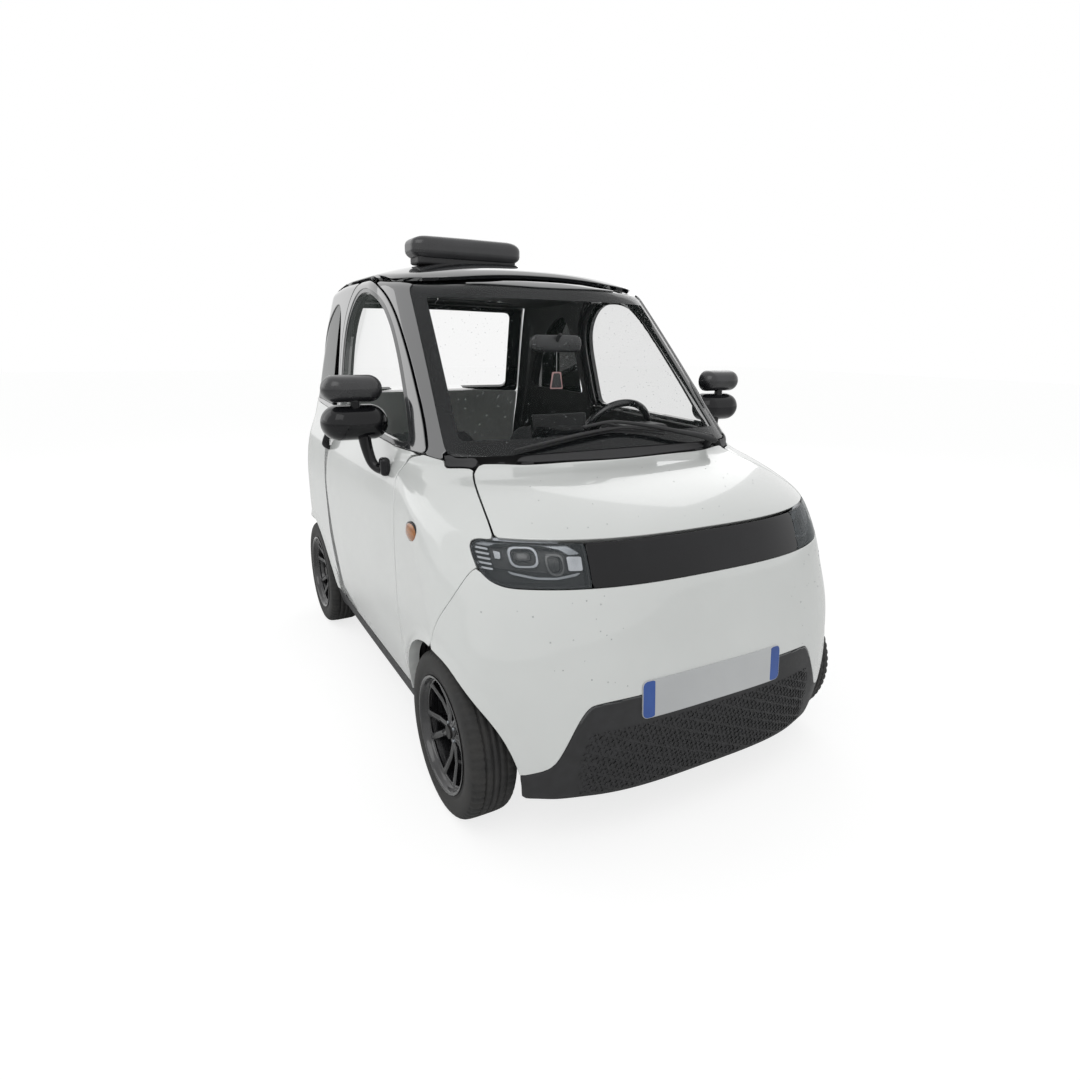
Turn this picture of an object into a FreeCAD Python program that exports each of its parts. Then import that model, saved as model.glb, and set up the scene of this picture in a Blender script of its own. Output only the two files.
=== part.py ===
import FreeCAD, Part
import math
import os
import re
import Sketcher

os.makedirs("parts", exist_ok=True)
doc = FreeCAD.newDocument("microcar")
Vector = FreeCAD.Vector

# Driving dimensions in millimetres and degrees
SIZES = {
    # whole vehicle
    "body_length": 2450,
    "body_width": 1440,
    "body_height": 1672,
    "front_overhang": 400,
    "wheelbase": 1660,
    "track": 1264,
    "floor_height": 168,
    "floor_thickness": 20,
    "bulkhead_setback": 315,
    "bulkhead_top": 900,
    "riser_setback": 315,
    "deck_height": 557,
    # wheels
    "tyre_radius": 252,
    "tyre_width": 145,
    "rim_radius": 177,
    "rim_width": 140,
    "rim_wall": 5,
    "hub_radius": 62,
    "spoke_width": 20,
    "spoke_depth": 22,
    "arch_radius": 300,
    "arch_start": 426,
    "housing_end": 645,
    "housing_wall": 4,
    # body panels
    "wall": 40,
    "inner_wall": 14,
    "seat_gap": 0.3,
    "bearing_gap": 0.08,
    "seam": 0.6,
    "shut_gap": 6,
    "rebate": 22,
    "swing_gap": 4,
    "glass_inset": 4,
    "glass_thickness": 5,
    "overrun": 60,
    "side_start": 240,
    "corner": 30,
    "sliver_width": 10,
    # lamps, grille and door handles
    "lamp_rim": 5,
    "lamp_recess": 14,
    "lamp_bar_count": 5,
    "lamp_bar_top": 853,
    "lamp_bar_pitch": 11.7,
    "lamp_bar_height": 6,
    "lamp_bar_inner": 595,
    "lamp_bar_outer": 626,
    "slot_rows": 6,
    "slot_columns": 11,
    "slot_bottom": 192,
    "slot_rise": 24,
    "slot_pitch": 76,
    "slot_width": 62,
    "slot_height": 12,
    "slot_depth": 4,
    "slot_border": 26,
    "handle_setback": 1246,
    "handle_height": 980,
    "handle_length": 66,
    "handle_radius": 12,
    "handle_lift": 12,
    # roof
    "roof_drop": 78,
    # wheel details
    "flange": 6,
    "bead_radius": 165,
    "stub_radius": 20,
    "drum_radius": 90,
    "drum_depth": 34,
    "hub_reach": 50,
    "spoke_spread": 34,
    "spoke_tip": 158.5,
    "spoke_root": 9,
    # running gear
    "kingpin_inset": 47,
    "upright_radius": 22,
    "upright_height": 230,
    "eye_radius": 30,
    "arm_width": 50,
    "arm_thickness": 12,
    "arm_inner": 400,
    "strut_radius": 22,
    "strut_inset": 500,
    "beam_width": 60,
    "beam_height": 60,
    "beam_bottom": 200,
    "rail_offset": 250,
    "rail_width": 40,
    "rail_reach": 300,
    "axle_tube_radius": 30,
    "axle_tube_length": 1100,
    "trailing_arm_height": 36,
    # cabin
    "battery_length": 720,
    "battery_width": 640,
    "battery_height": 150,
    "battery_setback": 500,
    "seat_offset": 300,
    "seat_width": 430,
    "cushion_length": 460,
    "cushion_height": 130,
    "backrest_height": 540,
    "backrest_depth": 110,
    "seat_setback": 620,
    "seat_rake": 90,
    "seat_round": 24,
    "dash_setback": 150,
    "dash_length": 370,
    "dash_top": 1005,
    "dash_bottom": 700,
    "hood_setback": 445,
    "hood_length": 130,
    "hood_width": 264,
    "hood_rise": 60,
    "hood_round": 28,
    "screen_setback": 553,
    "screen_offset": 20,
    "screen_width": 230,
    "screen_rise": 108,
    "screen_depth": 20,
    "screen_round": 8,
    "vent_width": 100,
    "vent_height": 60,
    "vent_reach": 14,
    "vent_round": 6,
    "vent_offset": 540,
    "vent_drop": 105,
    "steering_wheel_radius": 175,
    "steering_rim_radius": 14,
    "steering_hub_radius": 48,
    "steering_hub_depth": 40,
    "steering_tilt": 28,
    "steering_offset": 340,
    "steering_setback": 652,
    "steering_height": 1000,
    "shaft_radius": 11,
    "shaft_length": 200,
    "column_radius": 30,
    "column_length": 130,
    # outside fittings
    "sign_width": 456,
    "sign_depth": 130,
    "sign_height": 78,
    "sign_round": 34,
    "sign_foot": 6,
    "sign_setback": 1000,
    "sign_offset": -175,
    "mirror_setback": 500,
    "mirror_offset": 763,
    "mirror_height": 1118,
    "mirror_width": 212,
    "mirror_depth": 84,
    "mirror_tall": 104,
    "extra_mirror_rise": 107,
    "extra_mirror_width": 190,
    "extra_mirror_tall": 78,
    "extra_mirror_depth": 56,
    "stalk_radius": 14,
    "stalk_offset": 712,
    "stalk_foot_height": 972,
    "wiper_radius": 7,
    "wiper_lift": 12,
    "wiper_pin_radius": 9,
    "running_gap": 3,
}

sheet = doc.addObject("Spreadsheet::Sheet", "sizes")
for row, (name, number) in enumerate(SIZES.items(), start=1):
    sheet.set("A%d" % row, name)
    sheet.set("B%d" % row, str(number))
    sheet.setAlias("B%d" % row, name)
doc.recompute()


def size(name):
    return float(sheet.get(name))


def bound(formula):
    """The formula with every size name tied to the sheet."""
    return re.sub(r"\b[a-z]+(?:_[a-z]+)*\b(?!\()", lambda word: "sizes." + word.group(0), formula)


def worked(formula):
    """The present value of a formula."""
    return float(sheet.evalExpression(bound(formula)))


length = size("body_length")
width = size("body_width")
height = size("body_height")
front_end = length / 2
half_body = width / 2
front_axle = front_end - size("front_overhang")
rear_axle = front_axle - size("wheelbase")
wheel_y = size("track") / 2

# Centre line of the nose, bonnet and windscreen: height share of the body height,
# and setback share of the body length from the front end
nose_shares = ((0.0718, 0.0102), (0.0898, 0.0049), (0.1196, 0.0012), (0.1794, 0.0), (0.2392, 0.0024),
               (0.2990, 0.0057), (0.3589, 0.0114), (0.4187, 0.0196), (0.4665, 0.0269), (0.5084, 0.0359),
               (0.5293, 0.0441), (0.5443, 0.0592), (0.5562, 0.0796), (0.5670, 0.1041), (0.5772, 0.1327),
               (0.5873, 0.1653), (0.5963, 0.1918), (0.6053, 0.2090), (0.6160, 0.2155), (0.6699, 0.2498),
               (0.7476, 0.2980), (0.8373, 0.3551), (0.8971, 0.3943), (0.9450, 0.4265), (0.9928, 0.4612),
               (1.0287, 0.4878))
# Centre line of the tail, measured forward from the rear end
tail_shares = ((0.0718, 0.0367), (0.0897, 0.0265), (0.1495, 0.0102), (0.2392, 0.0020), (0.3290, 0.0),
               (0.4785, 0.0020), (0.5682, 0.0082), (0.6579, 0.0204), (0.7476, 0.0367), (0.8373, 0.0563),
               (0.9270, 0.0808), (0.9928, 0.1020), (1.0287, 0.1143))
# Half width as a share of half the body width
side_shares = ((0.0718, 0.868), (0.0898, 0.889), (0.1196, 0.917), (0.1794, 0.953), (0.2691, 0.984),
               (0.3589, 0.999), (0.4486, 1.0), (0.5084, 0.991), (0.5502, 0.975), (0.5861, 0.950),
               (0.6160, 0.926), (0.6579, 0.906), (0.7476, 0.874), (0.8373, 0.839), (0.9270, 0.801),
               (0.9928, 0.768), (1.0287, 0.750))
# Depth of the rounded front corners as a share of the length, and how square they are
corner_depth_shares = ((0.0718, 0.147), (0.2990, 0.153), (0.4187, 0.167), (0.5084, 0.192), (0.5502, 0.204),
                       (0.5861, 0.180), (0.6220, 0.139), (1.0287, 0.139))
corner_power_shares = ((0.0718, 3.4), (0.2990, 3.4), (0.4187, 3.2), (0.5084, 2.9), (0.5502, 2.7),
                       (0.5861, 3.0), (0.6220, 4.0), (1.0287, 4.0))
tail_corner_share = 0.131
tail_power = 3.0
tail_taper_share = 0.035
taper_start_share = 0.53
# Roof centre line: setback share of the length and height share of the body height
roof_shares = ((-0.0600, 0.8650), (0.2000, 0.8700), (0.3265, 0.8850), (0.3878, 0.9294), (0.4286, 0.9569),
               (0.4898, 0.9850), (0.5714, 1.0), (0.6939, 0.9994), (0.8163, 0.9850), (0.8980, 0.9611), (0.9592, 0.9270), (1.0204, 0.8804))
roof_reference_share = 0.80
roof_power = 2.6
# Panel outlines. Side views: setback share of the length, height share of the body height.
# Front and rear views: share of half the body width, height share. A third value marks a tight corner.
door_shares = (
    (0.2931, 0.1567, 1), (0.2890, 0.3349), (0.2882, 0.4187), (0.2898, 0.4922), (0.2988, 0.5413),
    (0.3127, 0.5891), (0.3086, 0.6136, 1), (0.2816, 0.6220, 1), (0.3163, 0.6806), (0.3608, 0.7500),
    (0.4053, 0.8140), (0.4580, 0.8828), (0.5029, 0.9252), (0.5571, 0.9522), (0.6204, 0.9510),
    (0.6673, 0.9121), (0.6922, 0.8373), (0.6816, 0.7177), (0.6694, 0.6400, 1), (0.6824, 0.5682),
    (0.6898, 0.4904), (0.6816, 0.4127), (0.6629, 0.3349), (0.6547, 0.2632), (0.6547, 0.1567, 1))
door_window_shares = (
    (0.3192, 0.6364, 1), (0.3388, 0.6722), (0.3796, 0.7416), (0.4204, 0.8050), (0.4604, 0.8589),
    (0.5016, 0.9001), (0.5571, 0.9240), (0.6163, 0.9211), (0.6551, 0.8792), (0.6702, 0.8224),
    (0.6620, 0.7297), (0.6514, 0.6495, 1))
quarter_glass_shares = (
    (0.6808, 0.6579, 1), (0.6939, 0.7476), (0.7082, 0.8493), (0.7245, 0.9019), (0.7592, 0.9091),
    (0.8122, 0.8672), (0.8571, 0.7955), (0.8837, 0.7177), (0.8918, 0.6651, 1))
belt_shares = (
    (-0.0082, 0.6124, 1), (0.2596, 0.6124, 1), (0.2816, 0.6202), (0.3086, 0.6256), (0.6694, 0.6411),
    (0.8980, 0.6567), (1.0245, 0.6615, 1), (1.0245, 1.0467, 1), (-0.0082, 1.0467, 1))
front_bumper_shares = (
    (-0.0163, 0.0598, 1), (-0.0163, 0.4844, 1), (0.1110, 0.4856, 1), (0.1249, 0.4282),
    (0.1469, 0.3804), (0.1633, 0.3349, 1), (0.1633, 0.0598, 1))
rear_bumper_shares = (
    (1.0204, 0.0598, 1), (1.0204, 0.3648, 1), (0.9735, 0.3660), (0.9449, 0.3349), (0.9306, 0.2811, 1),
    (0.9306, 0.0598, 1))
fender_shares = ((0.0408, 0.0897, 1), (0.0408, 0.6340, 1), (0.3265, 0.6340, 1), (0.3265, 0.0897, 1))
quarter_shares = ((0.6300, 0.0897, 1), (0.6300, 0.6800, 1), (1.0204, 0.6800, 1), (1.0204, 0.0897, 1))
half_band_shares = ((0.0, 0.5221), (0.8806, 0.5221, 1), (0.8806, 0.4785), (0.8333, 0.4563),
                    (0.7222, 0.4563), (0.0, 0.4528))
half_grille_shares = ((0.0, 0.2739), (0.5347, 0.2739), (0.5903, 0.2632), (0.6639, 0.1992), (0.7042, 0.1651),
                      (0.7778, 0.1531), (0.9722, 0.1328, 1), (0.9722, 0.0598, 1), (0.0, 0.0598))
half_screen_shares = ((0.0, 0.9354), (0.6875, 0.9342, 1), (0.7361, 0.7775), (0.7819, 0.6196, 1),
                      (0.4167, 0.6226), (0.0, 0.6232))
half_tailgate_shares = ((0.0, 0.9426), (0.6667, 0.9360, 1), (0.7014, 0.8074), (0.7292, 0.6639),
                        (0.7361, 0.5383), (0.7292, 0.3828, 1), (0.0, 0.3828))
half_tail_glass_shares = ((0.0, 0.9211), (0.5833, 0.9151, 1), (0.6111, 0.8074), (0.6319, 0.6788, 1),
                          (0.0, 0.6746))
tail_lamp_shares = ((0.7778, 0.4187, 1), (0.9028, 0.4187, 1), (0.9028, 0.5891, 1), (0.7778, 0.5891, 1))
lamp_divider_share = 0.53
# Plan views: setback share of the length, share of half the body width
half_bonnet_shares = ((0.2082, 0.0), (0.2106, 0.2778), (0.2151, 0.4708), (0.2286, 0.6111),
                      (0.2392, 0.6917, 1), (0.2196, 0.7250), (0.1788, 0.7639), (0.1412, 0.7903),
                      (0.1061, 0.8111, 1), (-0.0082, 0.8611, 1), (-0.0082, 0.0))
half_roof_plan_shares = ((0.4196, 0.0), (0.4245, 0.3472), (0.4408, 0.5556), (0.4653, 0.6806),
                         (0.5102, 0.7431), (0.6531, 0.7611), (0.7959, 0.7431), (0.8816, 0.6944),
                         (0.9143, 0.5556), (0.9216, 0.2778), (0.9224, 0.0))
half_cowl_shares = ((0.1878, 0.0), (0.1878, 0.5000, 1), (0.2360, 0.7000, 1), (0.2500, 0.7650, 1),
                    (0.2580, 0.8000, 1), (0.2857, 0.7778, 1), (0.2857, 0.0))
# Front views inside the left headlamp
lamp_brow_shares = ((0.8720, 0.5120), (0.8360, 0.5213), (0.6720, 0.5242), (0.6100, 0.5210), (0.5430, 0.5042),
                    (0.5875, 0.5027), (0.6640, 0.5140), (0.8010, 0.5150))
lamp_fin_shares = ((0.5400, 0.4790), (0.5740, 0.4719), (0.6390, 0.4674), (0.7060, 0.4677), (0.7780, 0.4734),
                   (0.8000, 0.4806), (0.7720, 0.4790), (0.7030, 0.4725), (0.6390, 0.4722), (0.5780, 0.4770))
lamp_ring_shares = ((0.6868, 0.5156), (0.7785, 0.5144), (0.7785, 0.4838), (0.6896, 0.4850))
lamp_ring_hole_shares = ((0.6960, 0.5120), (0.7700, 0.5108), (0.7700, 0.4874), (0.6980, 0.4886))
lamp_second_shares = ((0.6056, 0.5054), (0.6667, 0.5054), (0.6680, 0.4821), (0.6528, 0.4725), (0.6208, 0.4725),
                      (0.6056, 0.4821))
lamp_second_hole_shares = ((0.6139, 0.5012), (0.6583, 0.5012), (0.6597, 0.4833), (0.6472, 0.4767),
                           (0.6250, 0.4767), (0.6139, 0.4833))
lamp_plate_shares = ((0.5444, 0.5015, 1), (0.5972, 0.5021, 1), (0.5986, 0.4803, 1), (0.5472, 0.4800, 1))
cowl_top_share = 0.6232
sill_top_share = 0.1531
ring_turns = 11
side_steps = 4
level_steps = 26
roof_steps = 12
fine_steps = 400
degree = 3
slope_share = 0.001


def smooth_curve(pairs):
    """A monotone cubic through the pairs, as a function and its slope."""
    xs = [p[0] for p in pairs]
    ys = [p[1] for p in pairs]
    steps = [b - a for a, b in zip(xs, xs[1:])]
    rises = [(b - a) / step for a, b, step in zip(ys, ys[1:], steps)]
    slopes = [rises[0]]
    for before, after, left, right in zip(rises, rises[1:], steps, steps[1:]):
        if before * after <= 0:
            slopes.append(0.0)
        else:
            w1 = 2 * right + left
            w2 = right + 2 * left
            slopes.append((w1 + w2) / (w1 / before + w2 / after))
    slopes.append(rises[-1])

    def value(x):
        k = 0
        while k < len(steps) - 1 and x > xs[k + 1]:
            k += 1
        step = steps[k]
        u = min(max((x - xs[k]) / step, 0), 1)
        over = x - min(max(x, xs[0]), xs[-1])
        a = (1 + 2 * u) * (1 - u) ** 2 * ys[k] + u * u * (3 - 2 * u) * ys[k + 1]
        b = step * u * (1 - u) ** 2 * slopes[k] - step * u * u * (1 - u) * slopes[k + 1]
        edge = slopes[0] if over < 0 else slopes[-1]
        return a + b + over * edge

    return value


def in_lengths(shares, offset, scale):
    return [(share * height, offset + scale * reach) for share, reach in shares]


def offset_profile(pairs, depth, outward):
    """Points moved inward by depth, square to the profile."""
    curve = smooth_curve(pairs)
    step = height * slope_share
    moved = []
    for z, x in pairs:
        slope = (curve(z + step) - curve(z - step)) / (2 * step)
        size_of_normal = math.hypot(1, slope)
        normal_x = outward / size_of_normal
        normal_z = -outward * slope / size_of_normal
        moved.append((z - depth * normal_z, x - depth * normal_x))
    kept = [moved[0]]
    for pair in moved[1:]:
        if pair[0] > kept[-1][0] + step:
            kept.append(pair)
    return kept


nose_profile = in_lengths(nose_shares, front_end, -length)
tail_profile = in_lengths(tail_shares, -front_end, length)
side_profile = in_lengths(side_shares, 0, half_body)
corner_depth = smooth_curve(in_lengths(corner_depth_shares, 0, length))
corner_power = smooth_curve([(share * height, power) for share, power in corner_power_shares])
tail_corner = tail_corner_share * length
taper_start = front_end - taper_start_share * length


def taper(x):
    run = max(0, taper_start - x) / (taper_start + front_end)
    return 1 - tail_taper_share * run ** 2


def corner_arc(centre, reach, half, power, toward):
    """Points of one rounded end, from one side to the other."""
    points = []
    for k in range(-ring_turns, ring_turns + 1):
        turn = math.pi / 2 * k / ring_turns
        across = half * math.copysign(abs(math.sin(turn)) ** (2 / power), turn)
        points.append((centre + toward * reach * math.cos(turn), toward * across))
    return points


def level_outlines(z, x_front, x_rear, half):
    """One level of the body: its nose half and its tail half, which meet in the middle of each side."""
    nose_centre = x_front - corner_depth(z)
    tail_centre = x_rear + tail_corner
    nose = corner_arc(nose_centre, corner_depth(z), half, corner_power(z), 1)
    tail = corner_arc(tail_centre, tail_corner, half, tail_power, -1)
    run = nose_centre - tail_centre
    shares = [(k + 1) / (2 * side_steps) for k in range(side_steps)]
    ahead = [nose_centre - run * share for share in shares]
    behind = [tail_centre + run * share for share in shares]
    front_loop = [(x, -half) for x in reversed(ahead)] + nose + [(x, half) for x in ahead]
    rear_loop = [(x, half) for x in reversed(behind)] + tail + [(x, -half) for x in behind]
    return [[Vector(x, y * taper(x), z) for x, y in loop] for loop in (front_loop, rear_loop)]


def even_levels(profile, low):
    """Heights evenly spaced along a profile."""
    curve = smooth_curve(profile)
    top = profile[-1][0]
    fine = [low + (top - low) * k / fine_steps for k in range(fine_steps + 1)]
    walked = [0.0]
    for z0, z1 in zip(fine, fine[1:]):
        walked.append(walked[-1] + math.hypot(z1 - z0, curve(z1) - curve(z0)))
    levels = []
    for k in range(level_steps + 1):
        goal = walked[-1] * k / level_steps
        nearest = min(range(len(walked)), key=lambda i: abs(walked[i] - goal))
        levels.append(fine[nearest])
    return levels


def clamped(count):
    """Knots and multiplicities of a cubic that ends on its first and last pole."""
    knots = list(range(count - degree + 1))
    return knots, [degree + 1] + [1] * (len(knots) - 2) + [degree + 1]


def poled_surface(rows):
    """A cubic surface drawn by a grid of poles."""
    surface = Part.BSplineSurface()
    u_knots, u_mults = clamped(len(rows))
    v_knots, v_mults = clamped(len(rows[0]))
    surface.buildFromPolesMultsKnots(rows, u_mults, v_mults, u_knots, v_knots, False, False, degree, degree)
    return surface


def roof_cap(depth):
    """A block whose top is the roof surface, moved down by depth."""
    centre = smooth_curve([(share, level * height) for share, level in roof_shares])
    reference = roof_reference_share * half_body
    grid = []
    for i in range(2 * roof_steps + 1):
        row = []
        back_share = roof_shares[0][0] + (roof_shares[-1][0] - roof_shares[0][0]) * i / (2 * roof_steps)
        for j in range(-roof_steps, roof_steps + 1):
            y = (half_body + size("overrun")) * j / roof_steps
            drop = size("roof_drop") * (abs(y) / reference) ** roof_power
            row.append(Vector(front_end - back_share * length, y, centre(back_share) - drop - depth))
        grid.append(row)
    return poled_surface(grid).toShape().extrude(Vector(0, 0, -height))


def hull(depth):
    """The closed body form, moved inward by depth."""
    nose_line = offset_profile(nose_profile, depth, 1)
    nose = smooth_curve(nose_line)
    tail = smooth_curve(offset_profile(tail_profile, depth, -1))
    side = smooth_curve(side_profile)
    low = size("floor_height") - (size("overrun") if depth else 0)
    levels = even_levels(nose_line, low)
    halves = [level_outlines(z, nose(z), tail(z), side(z) - depth) for z in levels]
    wraps = [poled_surface([pair[k] for pair in halves]) for k in (0, 1)]
    caps = [Part.Face(Part.Wire([wrap.uIso(k).toShape() for wrap in wraps])) for k in (0, len(levels) - 3)]
    shell = Part.Shell([wrap.toShape() for wrap in wraps] + caps)
    shell.sewShape()
    body = Part.Solid(shell)
    if body.Volume < 0:
        body.reverse()
    return body.common(roof_cap(depth))


def mirrored(half):
    """A loop that is the same on both sides of the middle, from its half."""
    other = [(point[0],) + (-point[1],) + tuple(point[2:]) for point in reversed(half) if point[1] > 0]
    return tuple(half) + tuple(other)


def mirrored_front(half):
    """The same for a front view, whose first value lies across."""
    other = [(-point[0],) + tuple(point[1:]) for point in reversed(half) if point[0] > 0]
    return tuple(half) + tuple(other)


def flat_points(shares, view):
    """The points of an outline as lengths in its own view, each with its tight mark."""
    points = []
    for share in shares:
        if view == "front":
            spot = (share[0] * half_body, share[1] * height)
        elif view == "side":
            spot = (front_end - share[0] * length, share[1] * height)
        else:
            spot = (front_end - share[0] * length, share[1] * half_body)
        points.append((spot[0], spot[1], len(share) > 2))
    return points


def grown(points, gap):
    """The same outline with every edge moved outward by the gap."""
    count = len(points)
    area = sum(points[k - 1][0] * points[k][1] - points[k][0] * points[k - 1][1] for k in range(count))
    turn = math.copysign(1, area)
    normals = []
    for k in range(count):
        across = points[(k + 1) % count][0] - points[k][0]
        up = points[(k + 1) % count][1] - points[k][1]
        run = math.hypot(across, up)
        normals.append((turn * up / run, -turn * across / run))
    moved = []
    for k, (a, b, tight) in enumerate(points):
        n1 = normals[k - 1]
        n2 = normals[k]
        stretch = gap / (1 + n1[0] * n2[0] + n1[1] * n2[1])
        moved.append((a + stretch * (n1[0] + n2[0]), b + stretch * (n1[1] + n2[1]), tight))
    return moved


def in_view(a, b, view):
    if view == "side":
        return Vector(a, 0, b)
    if view == "front":
        return Vector(0, a, b)
    return Vector(a, b, 0)


def outline_wire(points, view):
    """A closed outline: each corner is a curve, wide where it is not marked tight."""
    corner = size("corner")
    spots = [in_view(a, b, view) for a, b, tight in points]
    curves = []
    for k, spot in enumerate(spots):
        before = spots[k - 1] - spot
        after = spots[(k + 1) % len(spots)] - spot
        tight = points[k][2]
        reach_in = min(corner, before.Length / 2) if tight else before.Length / 2
        reach_out = min(corner, after.Length / 2) if tight else after.Length / 2
        start = spot + before * (reach_in / before.Length)
        end = spot + after * (reach_out / after.Length)
        curves.append((start, spot, end))
    edges = []
    for k, (start, spot, end) in enumerate(curves):
        bend = Part.BezierCurve()
        bend.setPoles([start, spot, end])
        edges.append(bend.toShape())
        following = curves[(k + 1) % len(curves)][0]
        if (following - end).Length > size("seat_gap"):
            edges.append(Part.LineSegment(end, following).toShape())
    return Part.Wire(edges)


directions = {"side": Vector(0, 1, 0), "front": Vector(1, 0, 0), "plan": Vector(0, 0, 1)}


def prism(shares, view, low, high, grow=0):
    """The outline pulled square to its view from low to high."""
    face = Part.Face(outline_wire(grown(flat_points(shares, view), grow), view))
    along = directions[view]
    face.translate(along * low)
    return face.extrude(along * (high - low))


def both_sides(shape):
    return Part.makeCompound([shape, shape.mirror(Vector(0, 0, 0), directions["side"])])


def block(x0, x1, y0, y1, z0, z1):
    return Part.makeBox(x1 - x0, y1 - y0, z1 - z0, Vector(x0, y0, z0))


far = size("body_length")
side_low = size("side_start")
seam = size("seam")
shut_gap = size("shut_gap")
rebate = size("rebate")
swing_gap = size("swing_gap")


def arch_cut(radius):
    """Room for the four wheels."""
    cuts = []
    for x in (front_axle, rear_axle):
        start = Vector(x, size("arch_start"), size("tyre_radius"))
        tube = Part.makeCylinder(radius, far, start, directions["side"])
        cuts.append(both_sides(tube))
    return cuts


def region(name, grow=0):
    """The room that a panel takes, grown by a gap."""
    if name == "door":
        return both_sides(prism(door_shares, "side", side_low, far, grow))
    if name == "door_window":
        return both_sides(prism(door_window_shares, "side", side_low, far, grow))
    if name == "quarter_glass":
        return both_sides(prism(quarter_glass_shares, "side", side_low, far, grow))
    if name == "belt":
        return prism(belt_shares, "side", -far, far, grow)
    if name == "front_bumper":
        return prism(front_bumper_shares, "side", -far, far, grow)
    if name == "rear_bumper":
        return prism(rear_bumper_shares, "side", -far, far, grow)
    if name == "fender":
        return prism(fender_shares, "side", side_low, far, grow)
    if name == "quarter":
        return prism(quarter_shares, "side", side_low / 2, far, grow)
    if name == "band":
        return prism(mirrored_front(half_band_shares), "front", 0, far, grow)
    if name == "grille":
        return prism(mirrored_front(half_grille_shares), "front", front_axle, far, grow)
    if name == "screen":
        return prism(mirrored_front(half_screen_shares), "front", 0, far, grow)
    if name == "tailgate":
        return prism(mirrored_front(half_tailgate_shares), "front", -far, rear_axle, grow)
    if name == "tail_glass":
        return prism(mirrored_front(half_tail_glass_shares), "front", -far, rear_axle, grow)
    if name == "tail_lamp":
        return both_sides(prism(tail_lamp_shares, "front", -far, rear_axle, grow))
    if name == "bonnet":
        band_top = half_band_shares[0][1] * height
        return prism(mirrored(half_bonnet_shares), "plan", band_top + shut_gap - grow, height, grow)
    if name == "roof":
        return prism(mirrored(half_roof_plan_shares), "plan", height * cowl_top_share, 2 * height, grow)
    if name == "cowl":
        low = half_band_shares[0][1] * height
        return prism(mirrored(half_cowl_shares), "plan", low, cowl_top_share * height + grow, grow)
    if name == "sill":
        bottom = block(-far, far, -far, far, 0, sill_top_share * height + grow)
        return bottom.common(block(rear_axle, front_axle, -far, far, 0, height))
    raise ValueError(name)


sliver = size("sliver_width") ** 3


def solids_only(shape):
    """The shape without slivers."""
    kept = [solid for solid in shape.Solids if solid.Volume > sliver]
    if len(kept) == 1:
        return kept[0]
    return Part.makeCompound(kept)


def left_side(shape):
    return shape.common(block(-far, far, 0, far, -far, far))


def right_side(shape):
    return shape.common(block(-far, far, -far, 0, -far, far))


wall = size("wall")
seat_gap = size("seat_gap")
glass_inset = size("glass_inset")
glass_thickness = size("glass_thickness")
outer_hull = hull(0)
wall_shell = outer_hull.cut(hull(wall))
wall_shell = wall_shell.cut(arch_cut(size("arch_radius")))
frame_hull = hull(wall + seat_gap)
inner_hull = hull(wall + seat_gap + size("inner_wall"))
frame_shell = frame_hull.cut(inner_hull)
frame_shell = frame_shell.cut(block(-far, far, -far, far, 0, size("floor_height")))
frame_shell = frame_shell.cut(arch_cut(size("arch_radius")))
glass_shell = hull(glass_inset).cut(hull(glass_inset + glass_thickness))

panels = {}


def panel(name, room, others, shell=None):
    """The piece of a shell inside its own room and outside the others."""
    body = (shell or wall_shell).common(room)
    body = body.cut(others)
    panels[name] = solids_only(body)


shut = {name: region(name, shut_gap) for name in ("door", "bonnet", "tailgate")}
near = {name: region(name, seam) for name in (
    "belt", "front_bumper", "rear_bumper", "band", "grille", "screen", "quarter_glass",
    "tail_lamp", "roof", "cowl", "sill")}
band_room = region("band")
divider = lamp_divider_share * half_body
panel("light_band", band_room.common(block(0, far, -divider, divider, 0, height)), [shut["bonnet"]])
lamps = region("band").cut(block(0, far, -divider - seam, divider + seam, 0, height))
panel("headlamp_left", left_side(lamps), [shut["bonnet"]])
panel("headlamp_right", right_side(lamps), [shut["bonnet"]])
panel("bonnet", region("bonnet"), [near["band"]])
panel("lower_grille", region("grille"), [])
panel("front_bumper", region("front_bumper"), [near["band"], near["grille"], shut["bonnet"]])
for side, pick in (("left", left_side), ("right", right_side)):
    room = region("fender") if side == "left" else region("fender").mirror(Vector(0, 0, 0), directions["side"])
    panel("front_fender_" + side, room, [
        near["front_bumper"], near["band"], near["grille"], shut["bonnet"], shut["door"], near["belt"],
        near["cowl"], near["sill"]])
    panel("door_" + side, pick(region("door")), [region("door_window", seam)])
    panel("door_glass_" + side, pick(region("door_window")), [], glass_shell)
    room = region("quarter") if side == "left" else region("quarter").mirror(Vector(0, 0, 0), directions["side"])
    panel("quarter_panel_" + side, room, [
        shut["door"], near["belt"], near["sill"], near["rear_bumper"], shut["tailgate"], near["tail_lamp"]])
panel("quarter_glasses", region("quarter_glass"), [shut["door"]], glass_shell)
panel("windscreen", region("screen"), [], glass_shell)
panel("cowl_panel", region("cowl"), [shut["bonnet"], near["screen"]])
panel("roof_panel", region("roof"), [near["screen"], shut["door"], shut["tailgate"]])
panel("pillar_frame", region("belt"), [
    shut["door"], near["quarter_glass"], near["screen"], near["roof"], shut["tailgate"], near["cowl"],
    shut["bonnet"]])
panel("tailgate", region("tailgate"), [region("tail_glass", seam)])
panel("tailgate_glass", region("tail_glass"), [], glass_shell)
panel("tail_lamps", region("tail_lamp"), [shut["tailgate"], near["belt"]])
panel("rear_bumper", region("rear_bumper"), [shut["tailgate"]])
panel("sills", region("sill"), [shut["door"]])
frame_openings = [region("door", swing_gap), region("tailgate", swing_gap), region("screen", -rebate),
                  region("quarter_glass", -rebate), region("bonnet", -rebate), region("band", -rebate)]
panel("cabin_frame", block(-far, far, -far, far, -far, far), frame_openings, frame_shell)


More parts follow.
